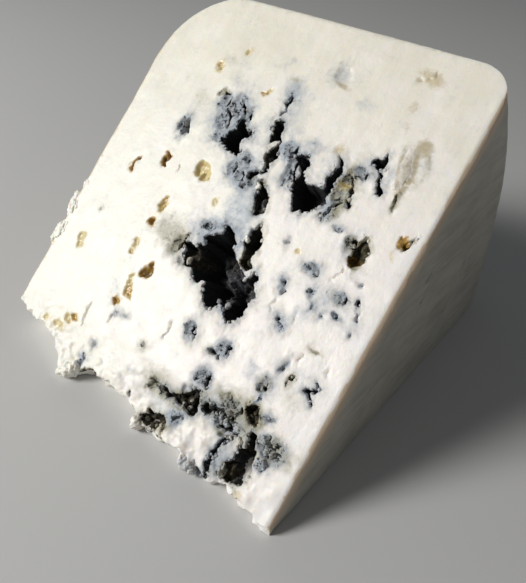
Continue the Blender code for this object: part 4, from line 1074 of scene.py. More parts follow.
@dataclass
class Relief:
    """The relief of one cut face.

    mould and whey are its lined hollows and pits, shelves the raised floors within them, and cracks its dry
    cracks and dents. crumbled is how far along from the thin edge the face is crumbly.
    """

    mould: Sequence[Hollow | Spot]
    whey: Sequence[Spot]
    shelves: Sequence[Spot]
    cracks: Sequence[Spot]
    crumbled: float
    seed: int
    uneven: SoftNoise = field(init=False)

    def __post_init__(self) -> None:
        """Draw the face's noise."""
        self.uneven = SoftNoise(self.seed)

    def read(self, place: np.ndarray) -> Reading:
        """Read the relief.

        Args:
            place: Points as (along, across) in millimetres.

        Returns:
            What the face has there.
        """
        frayed = self._fray(place)
        mould, sink, tone, bottom = self._lined(frayed, self.mould)
        whey, whey_sink, whey_tone, _ = self._lined(frayed, self.whey)
        _, split, _, _ = self._lined(frayed, self.cracks)
        crag = self.uneven.at(place, 2.4, 2)
        grit = self.uneven.at(place + 31.0, 0.9, 2)
        shelf = np.zeros(len(place))
        for spot in self.shelves:
            level = ramp(-oval_share(spot, frayed), -1.30, -0.45)
            floor = spot.depth * (1 + 0.22 * crag + 0.10 * grit)
            raised = level * (sink > floor)
            sink = sink + raised * (floor - sink)
            shelf = np.maximum(shelf, level)
            tone = np.where(level > 0.5, spot.tone, tone)
        sink = sink * (1 + 0.20 * crag) + np.minimum(sink, 1.6) * 0.28 * grit
        sink = np.maximum(np.maximum(sink, split), 0.95 * whey_sink * (1 + 0.15 * crag))
        spare = np.maximum(0.3, 0.60 * place[:, 0] - 0.2 + 0.3 * crag)
        sink = np.minimum(sink, spare)
        return Reading(sink, self._swell(place, mould), mould, tone, whey, whey_tone, shelf, bottom)

    def _swell(self, place: np.ndarray, mould: np.ndarray) -> np.ndarray:
        """Return how far the face stands out of its plane: soft waves, crumbs by hollows, and lumps.

        Args:
            place: Points as (along, across).
            mould: Their distances from the nearest mould-lined hollow, as shares of its halo.

        Returns:
            The heights in millimetres.
        """
        by_thin_edge = ramp(-place[:, 0], -self.crumbled, -2.0)
        near = np.maximum(ramp(-mould, -1.5, 0.0), by_thin_edge)
        broken = 0.25 + 0.75 * ramp(place[:, 1], 4.0, 10.0)
        gentle = 0.13 * self.uneven.at(place, 9.0) + 0.06 * self.uneven.at(place, 3.0, 2)
        crumb = 0.24 * self.uneven.at(place + 9.0, 1.7, 2) + 0.16 * self.uneven.at(place, 0.7)
        crumbs = near * broken * crumb
        lumpy = by_thin_edge * broken * 0.62 * self.uneven.at(place + 5.0, 4.2, 2)
        return gentle + crumbs + lumpy

    def _fray(self, place: np.ndarray) -> np.ndarray:
        """Push places about by noise, so that what is read there has ragged outlines.

        Args:
            place: Points as (along, across).

        Returns:
            The pushed points.
        """
        sideways = [
            0.42 * self.uneven.at(place + shift, 1.5) + 0.26 * self.uneven.at(place + shift, 0.62)
            for shift in (0.0, 57.0)
        ]
        return place + np.stack(sideways, axis=1)

    def _lined(
        self, place: np.ndarray, pockets: Sequence[Hollow | Spot]
    ) -> tuple[np.ndarray, np.ndarray, np.ndarray, np.ndarray]:
        """Measure places against hollows of one lining.

        Args:
            place: Points as (along, across).
            pockets: The hollows.

        Returns:
            Distances from the nearest rim as shares of its halo, depths, the nearest hollow's tone, and the
            full depth of the hollow that a place is in.
        """
        far_off = 4.0
        nearest = np.full(len(place), far_off)
        sink, tone, bottom = np.zeros((3, len(place)))
        for pocket in pockets:
            low, high = pocket.box(3.0 * pocket.halo)
            index = np.flatnonzero(((place > low) & (place < high)).all(axis=1))
            if not len(index):
                continue
            gap = pocket.distance(place[index])
            share = gap / pocket.halo
            tone[index] = np.where(share < nearest[index], pocket.tone, tone[index])
            nearest[index] = np.minimum(share, nearest[index])
            bottom[index] = np.maximum(bottom[index], pocket.depth * ramp(-gap, -0.3, 0.1))
            inside = np.maximum(-gap, 0)
            steep = 1 - np.exp(-((inside / pocket.wall) ** 1.6))
            bowl = 1 - np.exp(-inside / (3 * pocket.wall))
            sink[index] = np.maximum(sink[index], pocket.depth * (0.65 * steep + 0.35 * bowl))
        return nearest, sink, tone, bottom


def broken_up(pits: Iterable[Spot], seed: int) -> tuple[Spot, ...]:
    """Return ragged pits, each made of several smaller ones within its outline.

    Args:
        pits: The pits.
        seed: Seed of their parts.

    Returns:
        The parts of all the pits.
    """
    draw = np.random.default_rng(seed)
    parts = []
    for pit in pits:
        lean = math.radians(pit.turn)
        for _ in range(4 + int(pit.length * pit.width / 2.5)):
            reach = 0.66 * math.sqrt(draw.random())
            angle = draw.uniform(0, 2 * math.pi)
            first = reach * math.cos(angle) * pit.length / 2
            second = reach * math.sin(angle) * pit.width / 2
            share = draw.uniform(0.40, 0.68)
            part = replace(
                pit,
                along=pit.along + first * math.cos(lean) - second * math.sin(lean),
                across=pit.across + first * math.sin(lean) + second * math.cos(lean),
                length=pit.length * share,
                width=max(pit.width * share, 0.6),
                depth=pit.depth * draw.uniform(0.55, 1.1),
                turn=pit.turn + draw.uniform(-45, 45),
                tone=min(max(pit.tone + draw.normal(0, 0.14), 0.0), 1.0),
            )
            parts.append(part)
    return tuple(parts)


def crevices(mottles: Iterable[Spot]) -> tuple[Spot, ...]:
    """Return the crevices that open along one side of the larger mould-eaten ovals, painted near-black as
    shade by their depth.

    Args:
        mottles: The ovals.

    Returns:
        The crevices.
    """
    narrowest = 1.1
    return tuple(
        replace(
            spot,
            along=spot.along + 0.06 * spot.length,
            across=spot.across - 0.34 * spot.width,
            length=0.80 * spot.length,
            width=0.72,
            depth=2.4,
            turn=spot.turn + 16,
            halo=0.5,
        )
        for spot in mottles
        if min(spot.length, spot.width) > narrowest
    )


@dataclass
class CheeseWedge:
    """The wedge, with its sizes in millimetres."""

    radius: float = 95.0
    height: float = 80.0
    wall_bulge: float = 0.8
    near_rim: float = 7.0
    far_rim: float = 18.0
    angle: float = math.radians(45)
    tip_thickness: float = 1.4
    undercut: float = 0.55
    spare: float = 1.2
    edge_round: float = 1.2
    face_step: float = 0.27
    under_step: float = 0.7
    lid_margin: tuple[float, float] = (5.0, 4.0)
    lid_height: float = 24.0
    cutter_levels: tuple[float, float] = (-3.0, 20.0)
    cutter_length: float = 30.0
    cutter_crag: float = 1.5
    crumbled: float = 17.0
    under_crumbled: float = 6.0
    hidden_hollows: int = 46
    finer_from: tuple[float, ...] = (0.9, 2.2, 5.0)
    smooth_up_to: float = math.radians(58)
    triangles: int = 192_000
    shift: Vector = field(default_factory=Vector)

    def __post_init__(self) -> None:
        """Work out where the drum's frame sits in the row's frame."""
        low, high = (Vector(corner) for corner in CAD_BOX)
        self.shift = Vector((high.x / MM - self.radius - self.wall_bulge, low.y / MM + 0.2, 0.0))

    def face(self, cut: Cut) -> Matrix:
        """Return a cut face's frame.

        Args:
            cut: The face.

        Returns:
            Its frame in the drum's: X along it, Y across it, Z out of it.
        """
        if cut is Cut.UPPER:
            return Matrix.Translation((0, 0, self.tip_thickness)) @ Matrix.Rotation(-self.angle, 4, "Y")
        return Matrix.Translation((0, self.height, 0)) @ Matrix.Rotation(math.pi, 4, "X")

    def build(self, finish: CheeseFinish) -> bpy.types.Object:
        """Model the wedge, dress it and put it in the place of its CAD solid.

        Args:
            finish: Its finish.

        Returns:
            The finished piece.
        """
        mould = HOLLOWS + MOTTLES + CLEFTS + crevices(MOTTLES)
        whey = broken_up(WHEY_PITS, seed=8)
        reliefs = {
            Cut.UPPER: Relief(mould, whey, SHELVES, CRACKS + DENTS, self.crumbled, seed=3),
            Cut.LOWER: Relief(self._hidden_spots(), (), (), (), self.under_crumbled, seed=4),
        }
        cheese = self._cut_from_drum()
        LOG.info("body: %d faces", len(cheese.data.polygons))
        carve(cheese, self._lid(Cut.UPPER, reliefs[Cut.UPPER], self.face_step))
        carve(cheese, self._lid(Cut.LOWER, reliefs[Cut.LOWER], self.under_step))
        LOG.info("carved: %d faces", len(cheese.data.polygons))
        carve(cheese, self._thin_edge_cutter())
        standing = THIN_EDGE_LUMPS + BEADS + RIM_CRUMBS + FAR_FLAKES + self._grains()
        unite(cheese, self._lumps(standing))
        drop_scraps(cheese)
        LOG.info("with its crumbs: %d faces", len(cheese.data.polygons))
        self._thin_out(cheese)
        self._mark(cheese, reliefs)
        cheese.data.transform(Matrix.Translation(self.shift * MM))
        self._keep_in_box(cheese)
        activate(cheese)
        bpy.ops.object.shade_smooth_by_angle(angle=self.smooth_up_to)
        cheese.data.materials.clear()
        cheese.data.materials.append(finish.material(self.angle))
        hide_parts(NODE)
        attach(cheese, "root")
        return cheese

    def _cut_from_drum(self) -> bpy.types.Object:
        """Cut the wedge's body from a drum.

        Returns:
            The drum with rounded rims, cut twice through its axis with some to spare.
        """
        deselect_all()
        bpy.ops.mesh.primitive_cylinder_add(
            vertices=180,
            radius=self.radius * MM,
            depth=self.height * MM,
            location=(0, self.height / 2 * MM, 0),
            rotation=(math.pi / 2, 0, 0),
        )
        body = bpy.context.active_object
        body.name = "blue_cheese"
        bpy.ops.object.transform_apply(location=True, rotation=True, scale=True)
        self._round_rim(body, 0.0, self.near_rim)
        self._round_rim(body, self.height, self.far_rim)
        for cut in Cut:
            face = self.face(cut)
            outward = face.to_3x3() @ Vector((0, 0, 1))
            slice_off(body, (face.translation + outward * self.spare) * MM, outward)
        apply_modifier(body, "REMESH", mode="VOXEL", voxel_size=1.0 * MM)
        self._swell_wall(body)
        displace(body, "waves", 13.0, 0.55)
        displace(body, "ripples", 4.0, 0.22)
        return body

    def _round_rim(self, body: bpy.types.Object, level: float, rim: float) -> None:
        """Bevel the drum's rim at one flat.

        Args:
            body: The drum.
            level: The flat's place along the drum's axis.
            rim: The rim's radius.
        """
        edit(body, "EDGE")
        bpy.ops.mesh.select_all(action="DESELECT")
        bpy.ops.object.mode_set(mode="OBJECT")
        corners = body.data.vertices
        for edge in body.data.edges:
            heights = (corners[corner].co.y for corner in edge.vertices)
            edge.select = all(abs(height - level * MM) < 0.01 * MM for height in heights)
        bpy.ops.object.mode_set(mode="EDIT")
        bpy.ops.mesh.bevel(offset=rim * MM, offset_type="OFFSET", segments=10, profile=0.5, affect="EDGES")
        bpy.ops.object.mode_set(mode="OBJECT")

    def _swell_wall(self, body: bpy.types.Object) -> None:
        """Bulge the drum's wall a little halfway up the drum.

        Args:
            body: The wedge's body.
        """
        place, _ = points_of(body.data)
        share = np.clip(place[:, 1] / (self.height * MM), 0, 1)
        outward = np.hypot(place[:, 0], place[:, 2]) / (self.radius * MM)
        swell = 1 + self.wall_bulge / self.radius * np.sin(math.pi * share) * outward**4
        place[:, 0] *= swell
        place[:, 2] *= swell
        body.data.vertices.foreach_set("co", place.ravel())

    def _lid(self, cut: Cut, relief: Relief, step: float) -> bpy.types.Object:
        """Return a block that lies on a cut face and fills all its hollows.

        Args:
            cut: The face.
            relief: The face's relief.
            step: Spacing of the block's grid in millimetres.

        Returns:
            The block, which leaves the finished face where it is cut away.
        """
        deselect_all()
        ends, sides = self.lid_margin
        length, width = self.radius + 2 * ends, self.height + 2 * sides
        bpy.ops.mesh.primitive_grid_add(
            x_subdivisions=int(length / step), y_subdivisions=int(width / step), size=1.0
        )
        lid = bpy.context.active_object
        lid.name = f"{cut.value}_lid"
        place, _ = points_of(lid.data)
        along = (place[:, 0] + 0.5) * length - ends
        across = (place[:, 1] + 0.5) * width - sides
        reading = relief.read(np.stack([along, across], axis=1))
        rise = np.where(cut is Cut.UPPER, reading.swell, -np.abs(reading.swell))
        rise -= 0.5 * np.clip(self.edge_round - across, 0, 1.6) ** 2
        place = np.stack([along, across, rise - reading.sink], axis=1) * MM
        lid.data.vertices.foreach_set("co", place.ravel())
        edit(lid, "FACE")
        bpy.ops.mesh.select_all(action="SELECT")
        bpy.ops.mesh.extrude_region_move(TRANSFORM_OT_translate={"value": (0, 0, self.lid_height * MM)})
        bpy.ops.mesh.select_all(action="SELECT")
        bpy.ops.mesh.normals_make_consistent(inside=False)
        bpy.ops.object.mode_set(mode="OBJECT")
        lid.data.transform(Matrix.Scale(MM, 4) @ self.face(cut) @ Matrix.Scale(1 / MM, 4))
        return lid

    def _thin_edge_cutter(self) -> bpy.types.Object:
        """Make what takes away the crumbled part of the thin edge.

        Returns:
            A block whose near side is craggy and undercut.
        """
        deselect_all()
        bpy.ops.mesh.primitive_grid_add(x_subdivisions=300, y_subdivisions=70, size=1.0)
        curtain = bpy.context.active_object
        curtain.name = "thin_edge_cutter"
        spread, losses = zip(*THIN_EDGE_OUTLINE)
        lowest, highest = self.cutter_levels
        for point in curtain.data.vertices:
            across = spread[0] + (point.co.x + 0.5) * (spread[-1] - spread[0])
            loss = float(np.interp(across, spread, losses))
            edge = self.face(Cut.UPPER) @ Vector((loss, across, 0.0))
            level = lowest + (highest - lowest) * (point.co.y + 0.5)
            crag = rough_noise(Vector((0.0, across, level)) / 3.6, 4)
            lean = self.undercut * min(max((across - 1.0) / 7.0, 0.0), 1.0)
            craggy = self.cutter_crag * crag * min(max(across / 4.0, 0.3), 1.0)
            point.co = Vector((edge.x + lean * (edge.z - level) + craggy, across, level)) * MM
        edit(curtain, "FACE")
        bpy.ops.mesh.select_all(action="SELECT")
        away = (-self.cutter_length * MM, 0, 0)
        bpy.ops.mesh.extrude_region_move(TRANSFORM_OT_translate={"value": away})
        bpy.ops.mesh.select_all(action="SELECT")
        bpy.ops.mesh.normals_make_consistent(inside=False)
        bpy.ops.object.mode_set(mode="OBJECT")
        return curtain

    def _hidden_spots(self) -> tuple[Spot, ...]:
        """Scatter hollows over the lower cut face, clear of each other.

        Returns:
            The hollows.
        """
        draw = np.random.default_rng(11)
        spots = []
        while len(spots) < self.hidden_hollows:
            along, across = draw.uniform(16, 82), draw.uniform(8, 72)
            length = 1.6 + 10.0 * draw.random() ** 2.4
            width = length * draw.uniform(0.3, 0.8)
            gaps = (
                math.hypot(along - spot.along, across - spot.across) - 0.7 * (length + spot.length)
                for spot in spots
            )
            if all(gap >= 0 for gap in gaps):
                turn, tone = draw.uniform(-25, 25), draw.random()
                spots.append(Spot(along, across, length, width, 0.45 * length, turn, 2.0, tone))
        return tuple(spots)

    def _grains(self) -> tuple[Spot, ...]:
        """Strew curd grains along the hollows' rims, and on the floors of the shallow ones.

        Returns:
            The grains.
        """
        draw = np.random.default_rng(5)
        deep = 3.6
        grains = []
        for hollow in HOLLOWS:
            corners = np.array(hollow.outline)
            for start, end in zip(corners, np.roll(corners, -1, axis=0)):
                if draw.random() < 0.38 * float(np.linalg.norm(end - start)):
                    place = start + (end - start) * draw.random() + draw.normal(0, 0.25, 2)
                    size = draw.uniform(0.4, 1.0)
                    grains.append(self._grain(draw, place, size, 0.45, (0.05, 0.6), 1.0))
            if hollow.depth < deep:
                low, high = hollow.box(0.0)
                tries = draw.uniform(low, high, (int(1.1 * np.prod(high - low)), 2))
                for place in tries[hollow.distance(tries) < -0.35]:
                    size = draw.uniform(0.7, 1.7)
                    grains.append(self._grain(draw, place, size, 0.6, (0.3, 0.75), hollow.depth))
        return tuple(grains)

    def _grain(
        self,
        draw: np.random.Generator,
        place: np.ndarray,
        size: float,
        fullness: float,
        sunk: tuple[float, float],
        depth: float,
    ) -> Spot:
        """Draw one curd grain.

        Args:
            draw: Where random numbers come from.
            place: Its centre as (along, across).
            size: Its length.
            fullness: Its depth as a share of its length.
            sunk: The least and most that its centre lies under the face, as shares of depth.
            depth: The depth in millimetres that sunk is measured by.

        Returns:
            The grain.
        """
        squash, turn = draw.uniform(0.6, 1.0), draw.uniform(-90, 90)
        lift = -draw.uniform(*sunk) * depth
        return Spot(*place, size, size * squash, size * fullness, turn, lift=lift)

    def _lumps(self, spots: Sequence[Spot]) -> list[bpy.types.Object]:
        """Make a rough lump on the upper cut face for each spot.

        Args:
            spots: The spots.

        Returns:
            The lumps.
        """
        lumps = []
        for spot in spots:
            largest = max(spot.length, spot.width)
            lump = ball(2 + sum(largest > size for size in self.finer_from))
            seed = Vector((spot.along, spot.across, spot.depth))
            pace = 1.1 + largest / 5.0
            roughness = spot.roughness
            for point in lump.data.vertices:
                point.co *= 1.0 + roughness * rough_noise(point.co * pace + seed, 4)
            size = Matrix.Diagonal((spot.length / 2, spot.width / 2, spot.depth, 1))
            turn = Matrix.Rotation(math.radians(spot.turn), 4, "Z")
            place = Matrix.Translation((spot.along, spot.across, spot.lift))
            lump.data.transform(Matrix.Scale(MM, 4) @ self.face(Cut.UPPER) @ place @ turn @ size)
            lumps.append(lump)
        return lumps

    def _thin_out(self, cheese: bpy.types.Object) -> None:
        """Take away the triangles that the flatter surfaces can spare, and what that leaves loose.

        Args:
            cheese: The wedge.
        """
        triangles = sum(len(face.vertices) - 2 for face in cheese.data.polygons)
        if triangles > self.triangles:
            apply_modifier(cheese, "DECIMATE", ratio=self.triangles / triangles)
        peel_flaps(cheese)
        drop_scraps(cheese)

    def _mark(self, cheese: bpy.types.Object, reliefs: dict[Cut, Relief]) -> None:
        """Give the mesh the numbers that its finish reads at each point.

        Args:
            cheese: The wedge, still in the drum's frame.
            reliefs: The relief of each cut face.
        """
        mesh = cheese.data
        place, _ = points_of(mesh)
        upper, lower = (to_face(place, self.face(cut)) for cut in (Cut.UPPER, Cut.LOWER))
        marks = self._marks_on(upper, reliefs[Cut.UPPER])
        under = self._marks_on(lower, reliefs[Cut.LOWER])
        nearer_lower = lower[:, 2] > upper[:, 2]
        for name in marks:
            marks[name] = np.where(nearer_lower, under[name], marks[name])
        self._spot_flat(marks, place / MM)
        marks["stain"], stain_tone = stained(MOULD_STAINS, upper)
        close = np.clip(1.0 - marks["mould"], 0, 1)
        both = close + marks["stain"]
        blend = np.where(both > 0, close / np.maximum(both, 1e-6), 0.0)
        marks["tone"] = marks["tone"] * blend + stain_tone * (1 - blend)
        marks["straw"], marks["straw_tone"] = stained(STRAW_STAINS, upper)
        marks["skin"] = self._skin_share(mesh)
        # How far under the upper cut face a point lies, which the skin's painted glow band fades with.
        marks["under_face"] = np.clip(-upper[:, 2], 0, 30)
        marks["rind"] = np.hypot(place[:, 0], place[:, 2]) / (self.radius * MM)
        marks["across"] = place[:, 1] / (self.height * MM)
        self._clean_beads(marks, upper)
        for name, values in marks.items():
            layer = mesh.attributes.new(name, "FLOAT", "POINT")
            layer.data.foreach_set("value", values.astype(np.float32))

    def _clean_beads(self, marks: dict[str, np.ndarray], face_place: np.ndarray) -> None:
        """Leave the beads at the hollows' rims clean and white.

        Args:
            marks: Named numbers for each point.
            face_place: The points in the upper cut face's frame, in millimetres.
        """
        for bead in BEADS:
            on_bead = (oval_share(bead, face_place) < 1.35) & (face_place[:, 2] > bead.lift - 0.55)
            for name, clean in (("mould", 3.0), ("deep", 0.0), ("stain", 0.0)):
                marks[name][on_bead] = clean

    def _marks_on(self, face_place: np.ndarray, relief: Relief) -> dict[str, np.ndarray]:
        """Return what one cut face's relief gives to points on and near it.

        Args:
            face_place: Points in the face's frame, in millimetres.
            relief: The face's relief.

        Returns:
            Named numbers for each point.
        """
        reading = relief.read(face_place[:, :2])
        below = np.clip(-face_place[:, 2], 0, None)
        beyond = np.clip(below - reading.sink - 0.7, 0, None) * ramp(reading.mould, 0.3, 0.9)
        broken = ramp(-face_place[:, 0], -self.crumbled, -4.0)
        wall = (below > 0.8) & (reading.mould < 0.55 + 0.75 * broken)
        inside = np.maximum(ramp(-reading.mould, -0.06, 0.0), wall) * (beyond < 0.6 + 2.0 * broken)
        return {
            "mould": np.clip(reading.mould + beyond, -1, 3),
            # deep: how far a point lies inside a hollow, which the finish turns into painted shade.
            "deep": np.clip(below, 0, 9) * inside * (1 + 1.4 * ramp(reading.bottom, 1.5, 2.6)),
            "tone": reading.tone,
            "whey": np.clip(reading.whey + beyond, -1, 3),
            "whey_tone": reading.whey_tone,
            # pit: how far a point lies inside a whey pit, which the finish turns into painted shade.
            "pit": np.clip(below, 0, 3) * ramp(-reading.whey, -0.4, 0.4),
            "shelf": np.maximum(reading.shelf, 0.7 * broken) * inside,
        }

    def _spot_flat(self, marks: dict[str, np.ndarray], place: np.ndarray) -> None:
        """Add the near flat's spots of mould.

        Args:
            marks: Named numbers for each point.
            place: The points in the drum's frame, in millimetres.
        """
        nearest = np.full(len(place), 3.0)
        tone = np.zeros(len(place))
        for spot in FLAT_SPOTS:
            share = 0.1 + spot.distance(place[:, [0, 2]]) / spot.halo + np.clip(place[:, 1] - 1.0, 0, None)
            tone = np.where(share < nearest, spot.tone, tone)
            nearest = np.minimum(nearest, share)
        marks["tone"] = np.where(nearest < marks["mould"], tone, marks["tone"])
        marks["mould"] = np.minimum(marks["mould"], nearest)
        marks["deep"] = np.maximum(marks["deep"], 1.35 * ramp(-nearest, -0.1, 0.3))

    def _skin_share(self, mesh: bpy.types.Mesh) -> np.ndarray:
        """Find what is left of the drum's smooth outside.

        Args:
            mesh: The wedge's mesh, in the drum's frame.

        Returns:
            1 at points on the drum's flats and wall, and 0 on the cut faces and in hollows.
        """
        place, out = points_of(mesh)
        x, y, z = (place / MM).T
        distance = np.hypot(x, z)
        near = (y < 0.9) & (out[:, 1] < -0.5)
        far = (y > self.height - 0.9) & (out[:, 1] > 0.5)
        radial = (out[:, 0] * x + out[:, 2] * z) / np.maximum(distance, 1e-6)
        side = np.sqrt(np.clip(1 - out[:, 1] ** 2, 0, 1))
        rim = (distance > self.radius - self.far_rim) & (radial > 0.75 * side)
        outer = (y < self.near_rim) | (y > self.height - self.far_rim) | (distance > self.radius - 1.5)
        return (near | far | (rim & outer)).astype(float)

    def _keep_in_box(self, cheese: bpy.types.Object) -> None:
        """Keep the piece inside the CAD model's box, with a flat foot where it rests.

        Args:
            cheese: The piece, in the row's frame.
        """
        place, _ = points_of(cheese.data)
        low, high = (np.array(corner) for corner in CAD_BOX)
        cheese.data.vertices.foreach_set("co", np.clip(place, low, high).ravel())
        cheese.data.update()


def stained(stains: Iterable[Stain], face_place: np.ndarray) -> tuple[np.ndarray, np.ndarray]:
    """Work out how stained each point of the upper cut face is.

    Args:
        stains: The stains.
        face_place: Points in the face's frame, in millimetres.

    Returns:
        The strength at each point, from 0 to 1, and its tone.
    """
    strength, tone = np.zeros((2, len(face_place)))
    on_face = np.clip(1.5 - np.abs(face_place[:, 2]) / 4.0, 0, 1)
    for stain in stains:
        level = np.clip(1.35 - 0.75 * oval_share(stain, face_place), 0, 1) * stain.strength * on_face
        tone = np.where(level > strength, stain.tone, tone)
        strength = np.maximum(strength, level)
    return strength, tone


def to_face(place: np.ndarray, face: Matrix) -> np.ndarray:
    """Return places in metres as millimetres in a cut face's frame."""
    inverse = np.linalg.inv(np.array(face))
    return (place / MM) @ inverse[:3, :3].T + inverse[:3, 3]


def rough_noise(place: Vector, octaves: int) -> float:
    """Return noise whose octaves halve in size and in strength.

    Args:
        place: A point, as multiples of the largest features' size.
        octaves: Number of octaves.

    Returns:
        The noise, from about -1 to 1.
    """
    total = 0.0
    for octave in range(octaves):
        total += noise.noise(place * 2**octave) / 2**octave
    return total


def deselect_all() -> None:
    """Deselect every object."""
    for thing in bpy.context.selected_objects:
        thing.select_set(False)


def activate(thing: bpy.types.Object) -> None:
    """Select one object alone and make it active.

    Args:
        thing: The object.
    """
    deselect_all()
    thing.select_set(True)
    bpy.context.view_layer.objects.active = thing


def edit(thing: bpy.types.Object, mode: str) -> None:
    """Open an object in edit mode.

    Args:
        thing: The object.
        mode: What is selected there: VERT, EDGE or FACE.
    """
    activate(thing)
    bpy.ops.object.mode_set(mode="EDIT")
    bpy.ops.mesh.select_mode(type=mode)


def peel_flaps(thing: bpy.types.Object) -> None:
    """Delete the faces that hang by one edge from a closed surface, as thinning out leaves some.

    Args:
        thing: The object.
    """
    others = {"use_wire": False, "use_multi_face": False, "use_non_contiguous": False, "use_verts": False}
    edit(thing, "EDGE")
    longest_flap = 4
    for _ in range(longest_flap):
        bpy.ops.mesh.select_mode(type="EDGE")
        bpy.ops.mesh.select_all(action="DESELECT")
        bpy.ops.mesh.select_non_manifold(extend=False, use_boundary=True, **others)
        bpy.ops.mesh.select_mode(use_expand=True, type="FACE")
        bpy.ops.mesh.delete(type="FACE")
    bpy.ops.object.mode_set(mode="OBJECT")


def drop_scraps(thing: bpy.types.Object) -> None:
    """Delete what doesn't hang together with the object's outermost point.

    Args:
        thing: The object.
    """
    place, _ = points_of(thing.data)
    edit(thing, "VERT")
    bpy.ops.mesh.select_all(action="DESELECT")
    bpy.ops.object.mode_set(mode="OBJECT")
    thing.data.vertices[int(np.argmax(place[:, 0]))].select = True
    bpy.ops.object.mode_set(mode="EDIT")
    bpy.ops.mesh.select_linked()
    bpy.ops.mesh.select_all(action="INVERT")
    bpy.ops.mesh.delete(type="VERT")
    bpy.ops.object.mode_set(mode="OBJECT")


def slice_off(thing: bpy.types.Object, point: Vector, outward: Vector) -> None:
    """Cut away what lies on a plane's outward side and close the cut.

    Args:
        thing: The object to cut.
        point: A point of the plane.
        outward: The plane's normal, towards what goes.
    """
    edit(thing, "FACE")
    bpy.ops.mesh.select_all(action="SELECT")
    bpy.ops.mesh.bisect(plane_co=point, plane_no=outward, use_fill=True, clear_outer=True)
    bpy.ops.object.mode_set(mode="OBJECT")


def apply_modifier(thing: bpy.types.Object, kind: str, **settings: object) -> None:
    """Add a modifier with the given settings and apply it.

    Args:
        thing: The object.
        kind: The modifier's type.
        settings: Its properties.
    """
    activate(thing)
    modifier = thing.modifiers.new(kind.lower(), kind)
    for name, setting in settings.items():
        setattr(modifier, name, setting)
    bpy.ops.object.modifier_apply(modifier=modifier.name)


BALLS: dict[int, bpy.types.Mesh] = {}


def ball(detail: int) -> bpy.types.Object:
    """Return a new ball of radius 1, copied from the first of its detail.

    Args:
        detail: How often the ball's faces are divided.

    Returns:
        The ball, with its own mesh.
    """
    if detail not in BALLS:
        deselect_all()
        bpy.ops.mesh.primitive_ico_sphere_add(subdivisions=detail, radius=1.0)
        first = bpy.context.active_object
        BALLS[detail] = first.data.copy()
        bpy.data.objects.remove(first)
    copy = bpy.data.objects.new("lump", BALLS[detail].copy())
    bpy.context.scene.collection.objects.link(copy)
    return copy


def carve(thing: bpy.types.Object, cutter: bpy.types.Object) -> None:
    """Cut a closed mesh out of an object, and remove it."""
    apply_modifier(thing, "BOOLEAN", operation="DIFFERENCE", solver="MANIFOLD", object=cutter)
    bpy.data.objects.remove(cutter)


def unite(thing: bpy.types.Object, lumps: Sequence[bpy.types.Object]) -> None:
    """Make lumps one body with an object, and remove them.

    Args:
        thing: The object.
        lumps: Closed meshes.
    """
    group = bpy.data.collections.new("lumps")
    bpy.context.scene.collection.children.link(group)
    for lump in lumps:
        bpy.context.scene.collection.objects.unlink(lump)
        group.objects.link(lump)
    settings = {"operation": "UNION", "operand_type": "COLLECTION", "collection": group}
    apply_modifier(thing, "BOOLEAN", solver="MANIFOLD", **settings)
    for lump in lumps:
        bpy.data.objects.remove(lump)
    bpy.data.collections.remove(group)


def points_of(mesh: bpy.types.Mesh) -> tuple[np.ndarray, np.ndarray]:
    """Read a mesh's points.

    Args:
        mesh: The mesh.

    Returns:
        The points' places and their normals, a row for each.
    """
    place, out = np.empty((2, len(mesh.vertices) * 3))
    mesh.vertices.foreach_get("co", place)
    mesh.vertex_normals.foreach_get("vector", out)
    return place.reshape(-1, 3), out.reshape(-1, 3)


def displace(thing: bpy.types.Object, name: str, size: float, strength: float) -> None:
    """Move a surface in and out by soft noise.

    Args:
        thing: The object.
        name: Name of the noise.
        size: Width of its features in millimetres.
        strength: Its full range in millimetres.
    """
    texture = bpy.data.textures.new(name, "CLOUDS")
    texture.noise_scale = size * MM
    texture.noise_depth = 2
    settings = {"texture": texture, "texture_coords": "LOCAL", "mid_level": 0.5}
    apply_modifier(thing, "DISPLACE", strength=strength * MM, **settings)


@dataclass(frozen=True)
class Lamp:
    """A square studio lamp: its place from the cheese's middle, side and aim in metres, and its power."""

    name: str
    place: tuple[float, float, float]
    side: float
    watts: float
    colour: Colour = (1.0, 1.0, 1.0)

    def hang(self, target: Vector) -> None:
        """Add the lamp.

        Args:
            target: The point it is aimed at, in metres.
        """
        light = bpy.data.lights.new(self.name, "AREA")
        light.size = self.side
        light.energy = self.watts
        light.color = self.colour
        lamp = bpy.data.objects.new(self.name, light)
        lamp.location = target + Vector(self.place)
        lamp.rotation_euler = (target - lamp.location).to_track_quat("-Z", "Y").to_euler()
        bpy.context.scene.collection.objects.link(lamp)


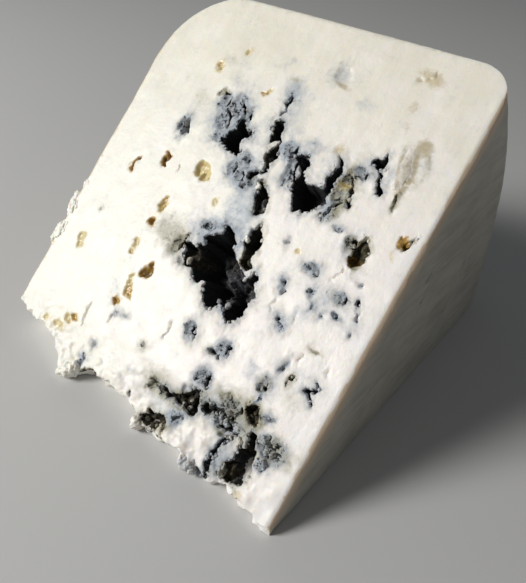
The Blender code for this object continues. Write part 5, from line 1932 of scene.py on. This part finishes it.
@dataclass
class Studio:
    """Plain pale floor, soft lamps and the camera, which looks down on the wedge from close by.

    heading, dip and roll are the camera's, in degrees. distance and aim, a point of the wedge in the drum's
    frame, are in millimetres, as is sensor_width. focal_px is the focal length in the photo's pixels, and
    floor_side is in metres.
    """

    heading: float = 54.04
    dip: float = 38.14
    roll: float = 4.59
    distance: float = 140.3
    focal_px: float = 609.7
    sensor_width: float = 36.0
    aim: tuple[float, float, float] = (39.97, 33.9, 15.12)
    floor_side: float = 4.0
    floor_colour: Colour = (0.62, 0.62, 0.61)
    floor_roughness: float = 0.7
    sky_colour: Colour = (0.93, 0.96, 1.0)
    sky_strength: float = 0.10
    lamps: tuple[Lamp, ...] = (
        Lamp("key", (-0.52, 0.44, 0.42), 0.26, 5.90, (1.0, 0.985, 0.965)),
        Lamp("fill", (-0.50, -0.55, 0.35), 0.60, 0.10, (0.95, 0.97, 1.0)),
    )

    def build(self, wedge: CheeseWedge) -> None:
        """Make the studio round the wedge.

        Args:
            wedge: The wedge.
        """
        self._floor()
        target = (Vector(self.aim) + wedge.shift) * MM
        for lamp in self.lamps:
            lamp.hang(target)
        self._camera(target)
        world = bpy.data.worlds.new("studio")
        world.use_nodes = True
        sky = world.node_tree.nodes["Background"]
        sky.inputs["Color"].default_value = (*self.sky_colour, 1.0)
        sky.inputs["Strength"].default_value = self.sky_strength
        bpy.context.scene.world = world
        bpy.context.scene.view_settings.view_transform = "Standard"

    def _camera(self, target: Vector) -> None:
        """Add the camera.

        Args:
            target: The point at the middle of its view, in metres.
        """
        yaw, pitch = math.radians(self.heading), math.radians(self.dip)
        level = math.cos(pitch)
        forward = Vector((math.sin(yaw) * level, math.cos(yaw) * level, -math.sin(pitch)))
        upright = forward.to_track_quat("-Z", "Y").to_matrix()
        turn = upright @ Matrix.Rotation(math.radians(self.roll), 3, "Z")
        sight = bpy.data.cameras.new("camera")
        sight.sensor_width = self.sensor_width
        sight.lens = self.focal_px * sight.sensor_width / PHOTO_HEIGHT_PX
        sight.clip_start = 0.01
        camera = bpy.data.objects.new("camera", sight)
        camera.location = target - forward * self.distance * MM
        camera.rotation_euler = turn.to_euler()
        bpy.context.scene.collection.objects.link(camera)
        bpy.context.scene.camera = camera

    def _floor(self) -> None:
        """Add the floor."""
        deselect_all()
        bpy.ops.mesh.primitive_plane_add(size=self.floor_side)
        floor = bpy.context.active_object
        floor.name = "floor"
        paint = bpy.data.materials.new("pale_floor")
        paint.use_nodes = True
        shader = paint.node_tree.nodes["Principled BSDF"]
        shader.inputs["Base Color"].default_value = (*self.floor_colour, 1.0)
        shader.inputs["Roughness"].default_value = self.floor_roughness
        floor.data.materials.append(paint)


def main() -> None:
    """Build the dressed wedge and its studio."""
    logging.basicConfig(level=logging.INFO, format="%(message)s")
    wedge = CheeseWedge()
    cheese = wedge.build(CheeseFinish())
    LOG.info("%s: %d faces", cheese.name, len(cheese.data.polygons))
    Studio().build(wedge)


if __name__ == "__main__":
    main()
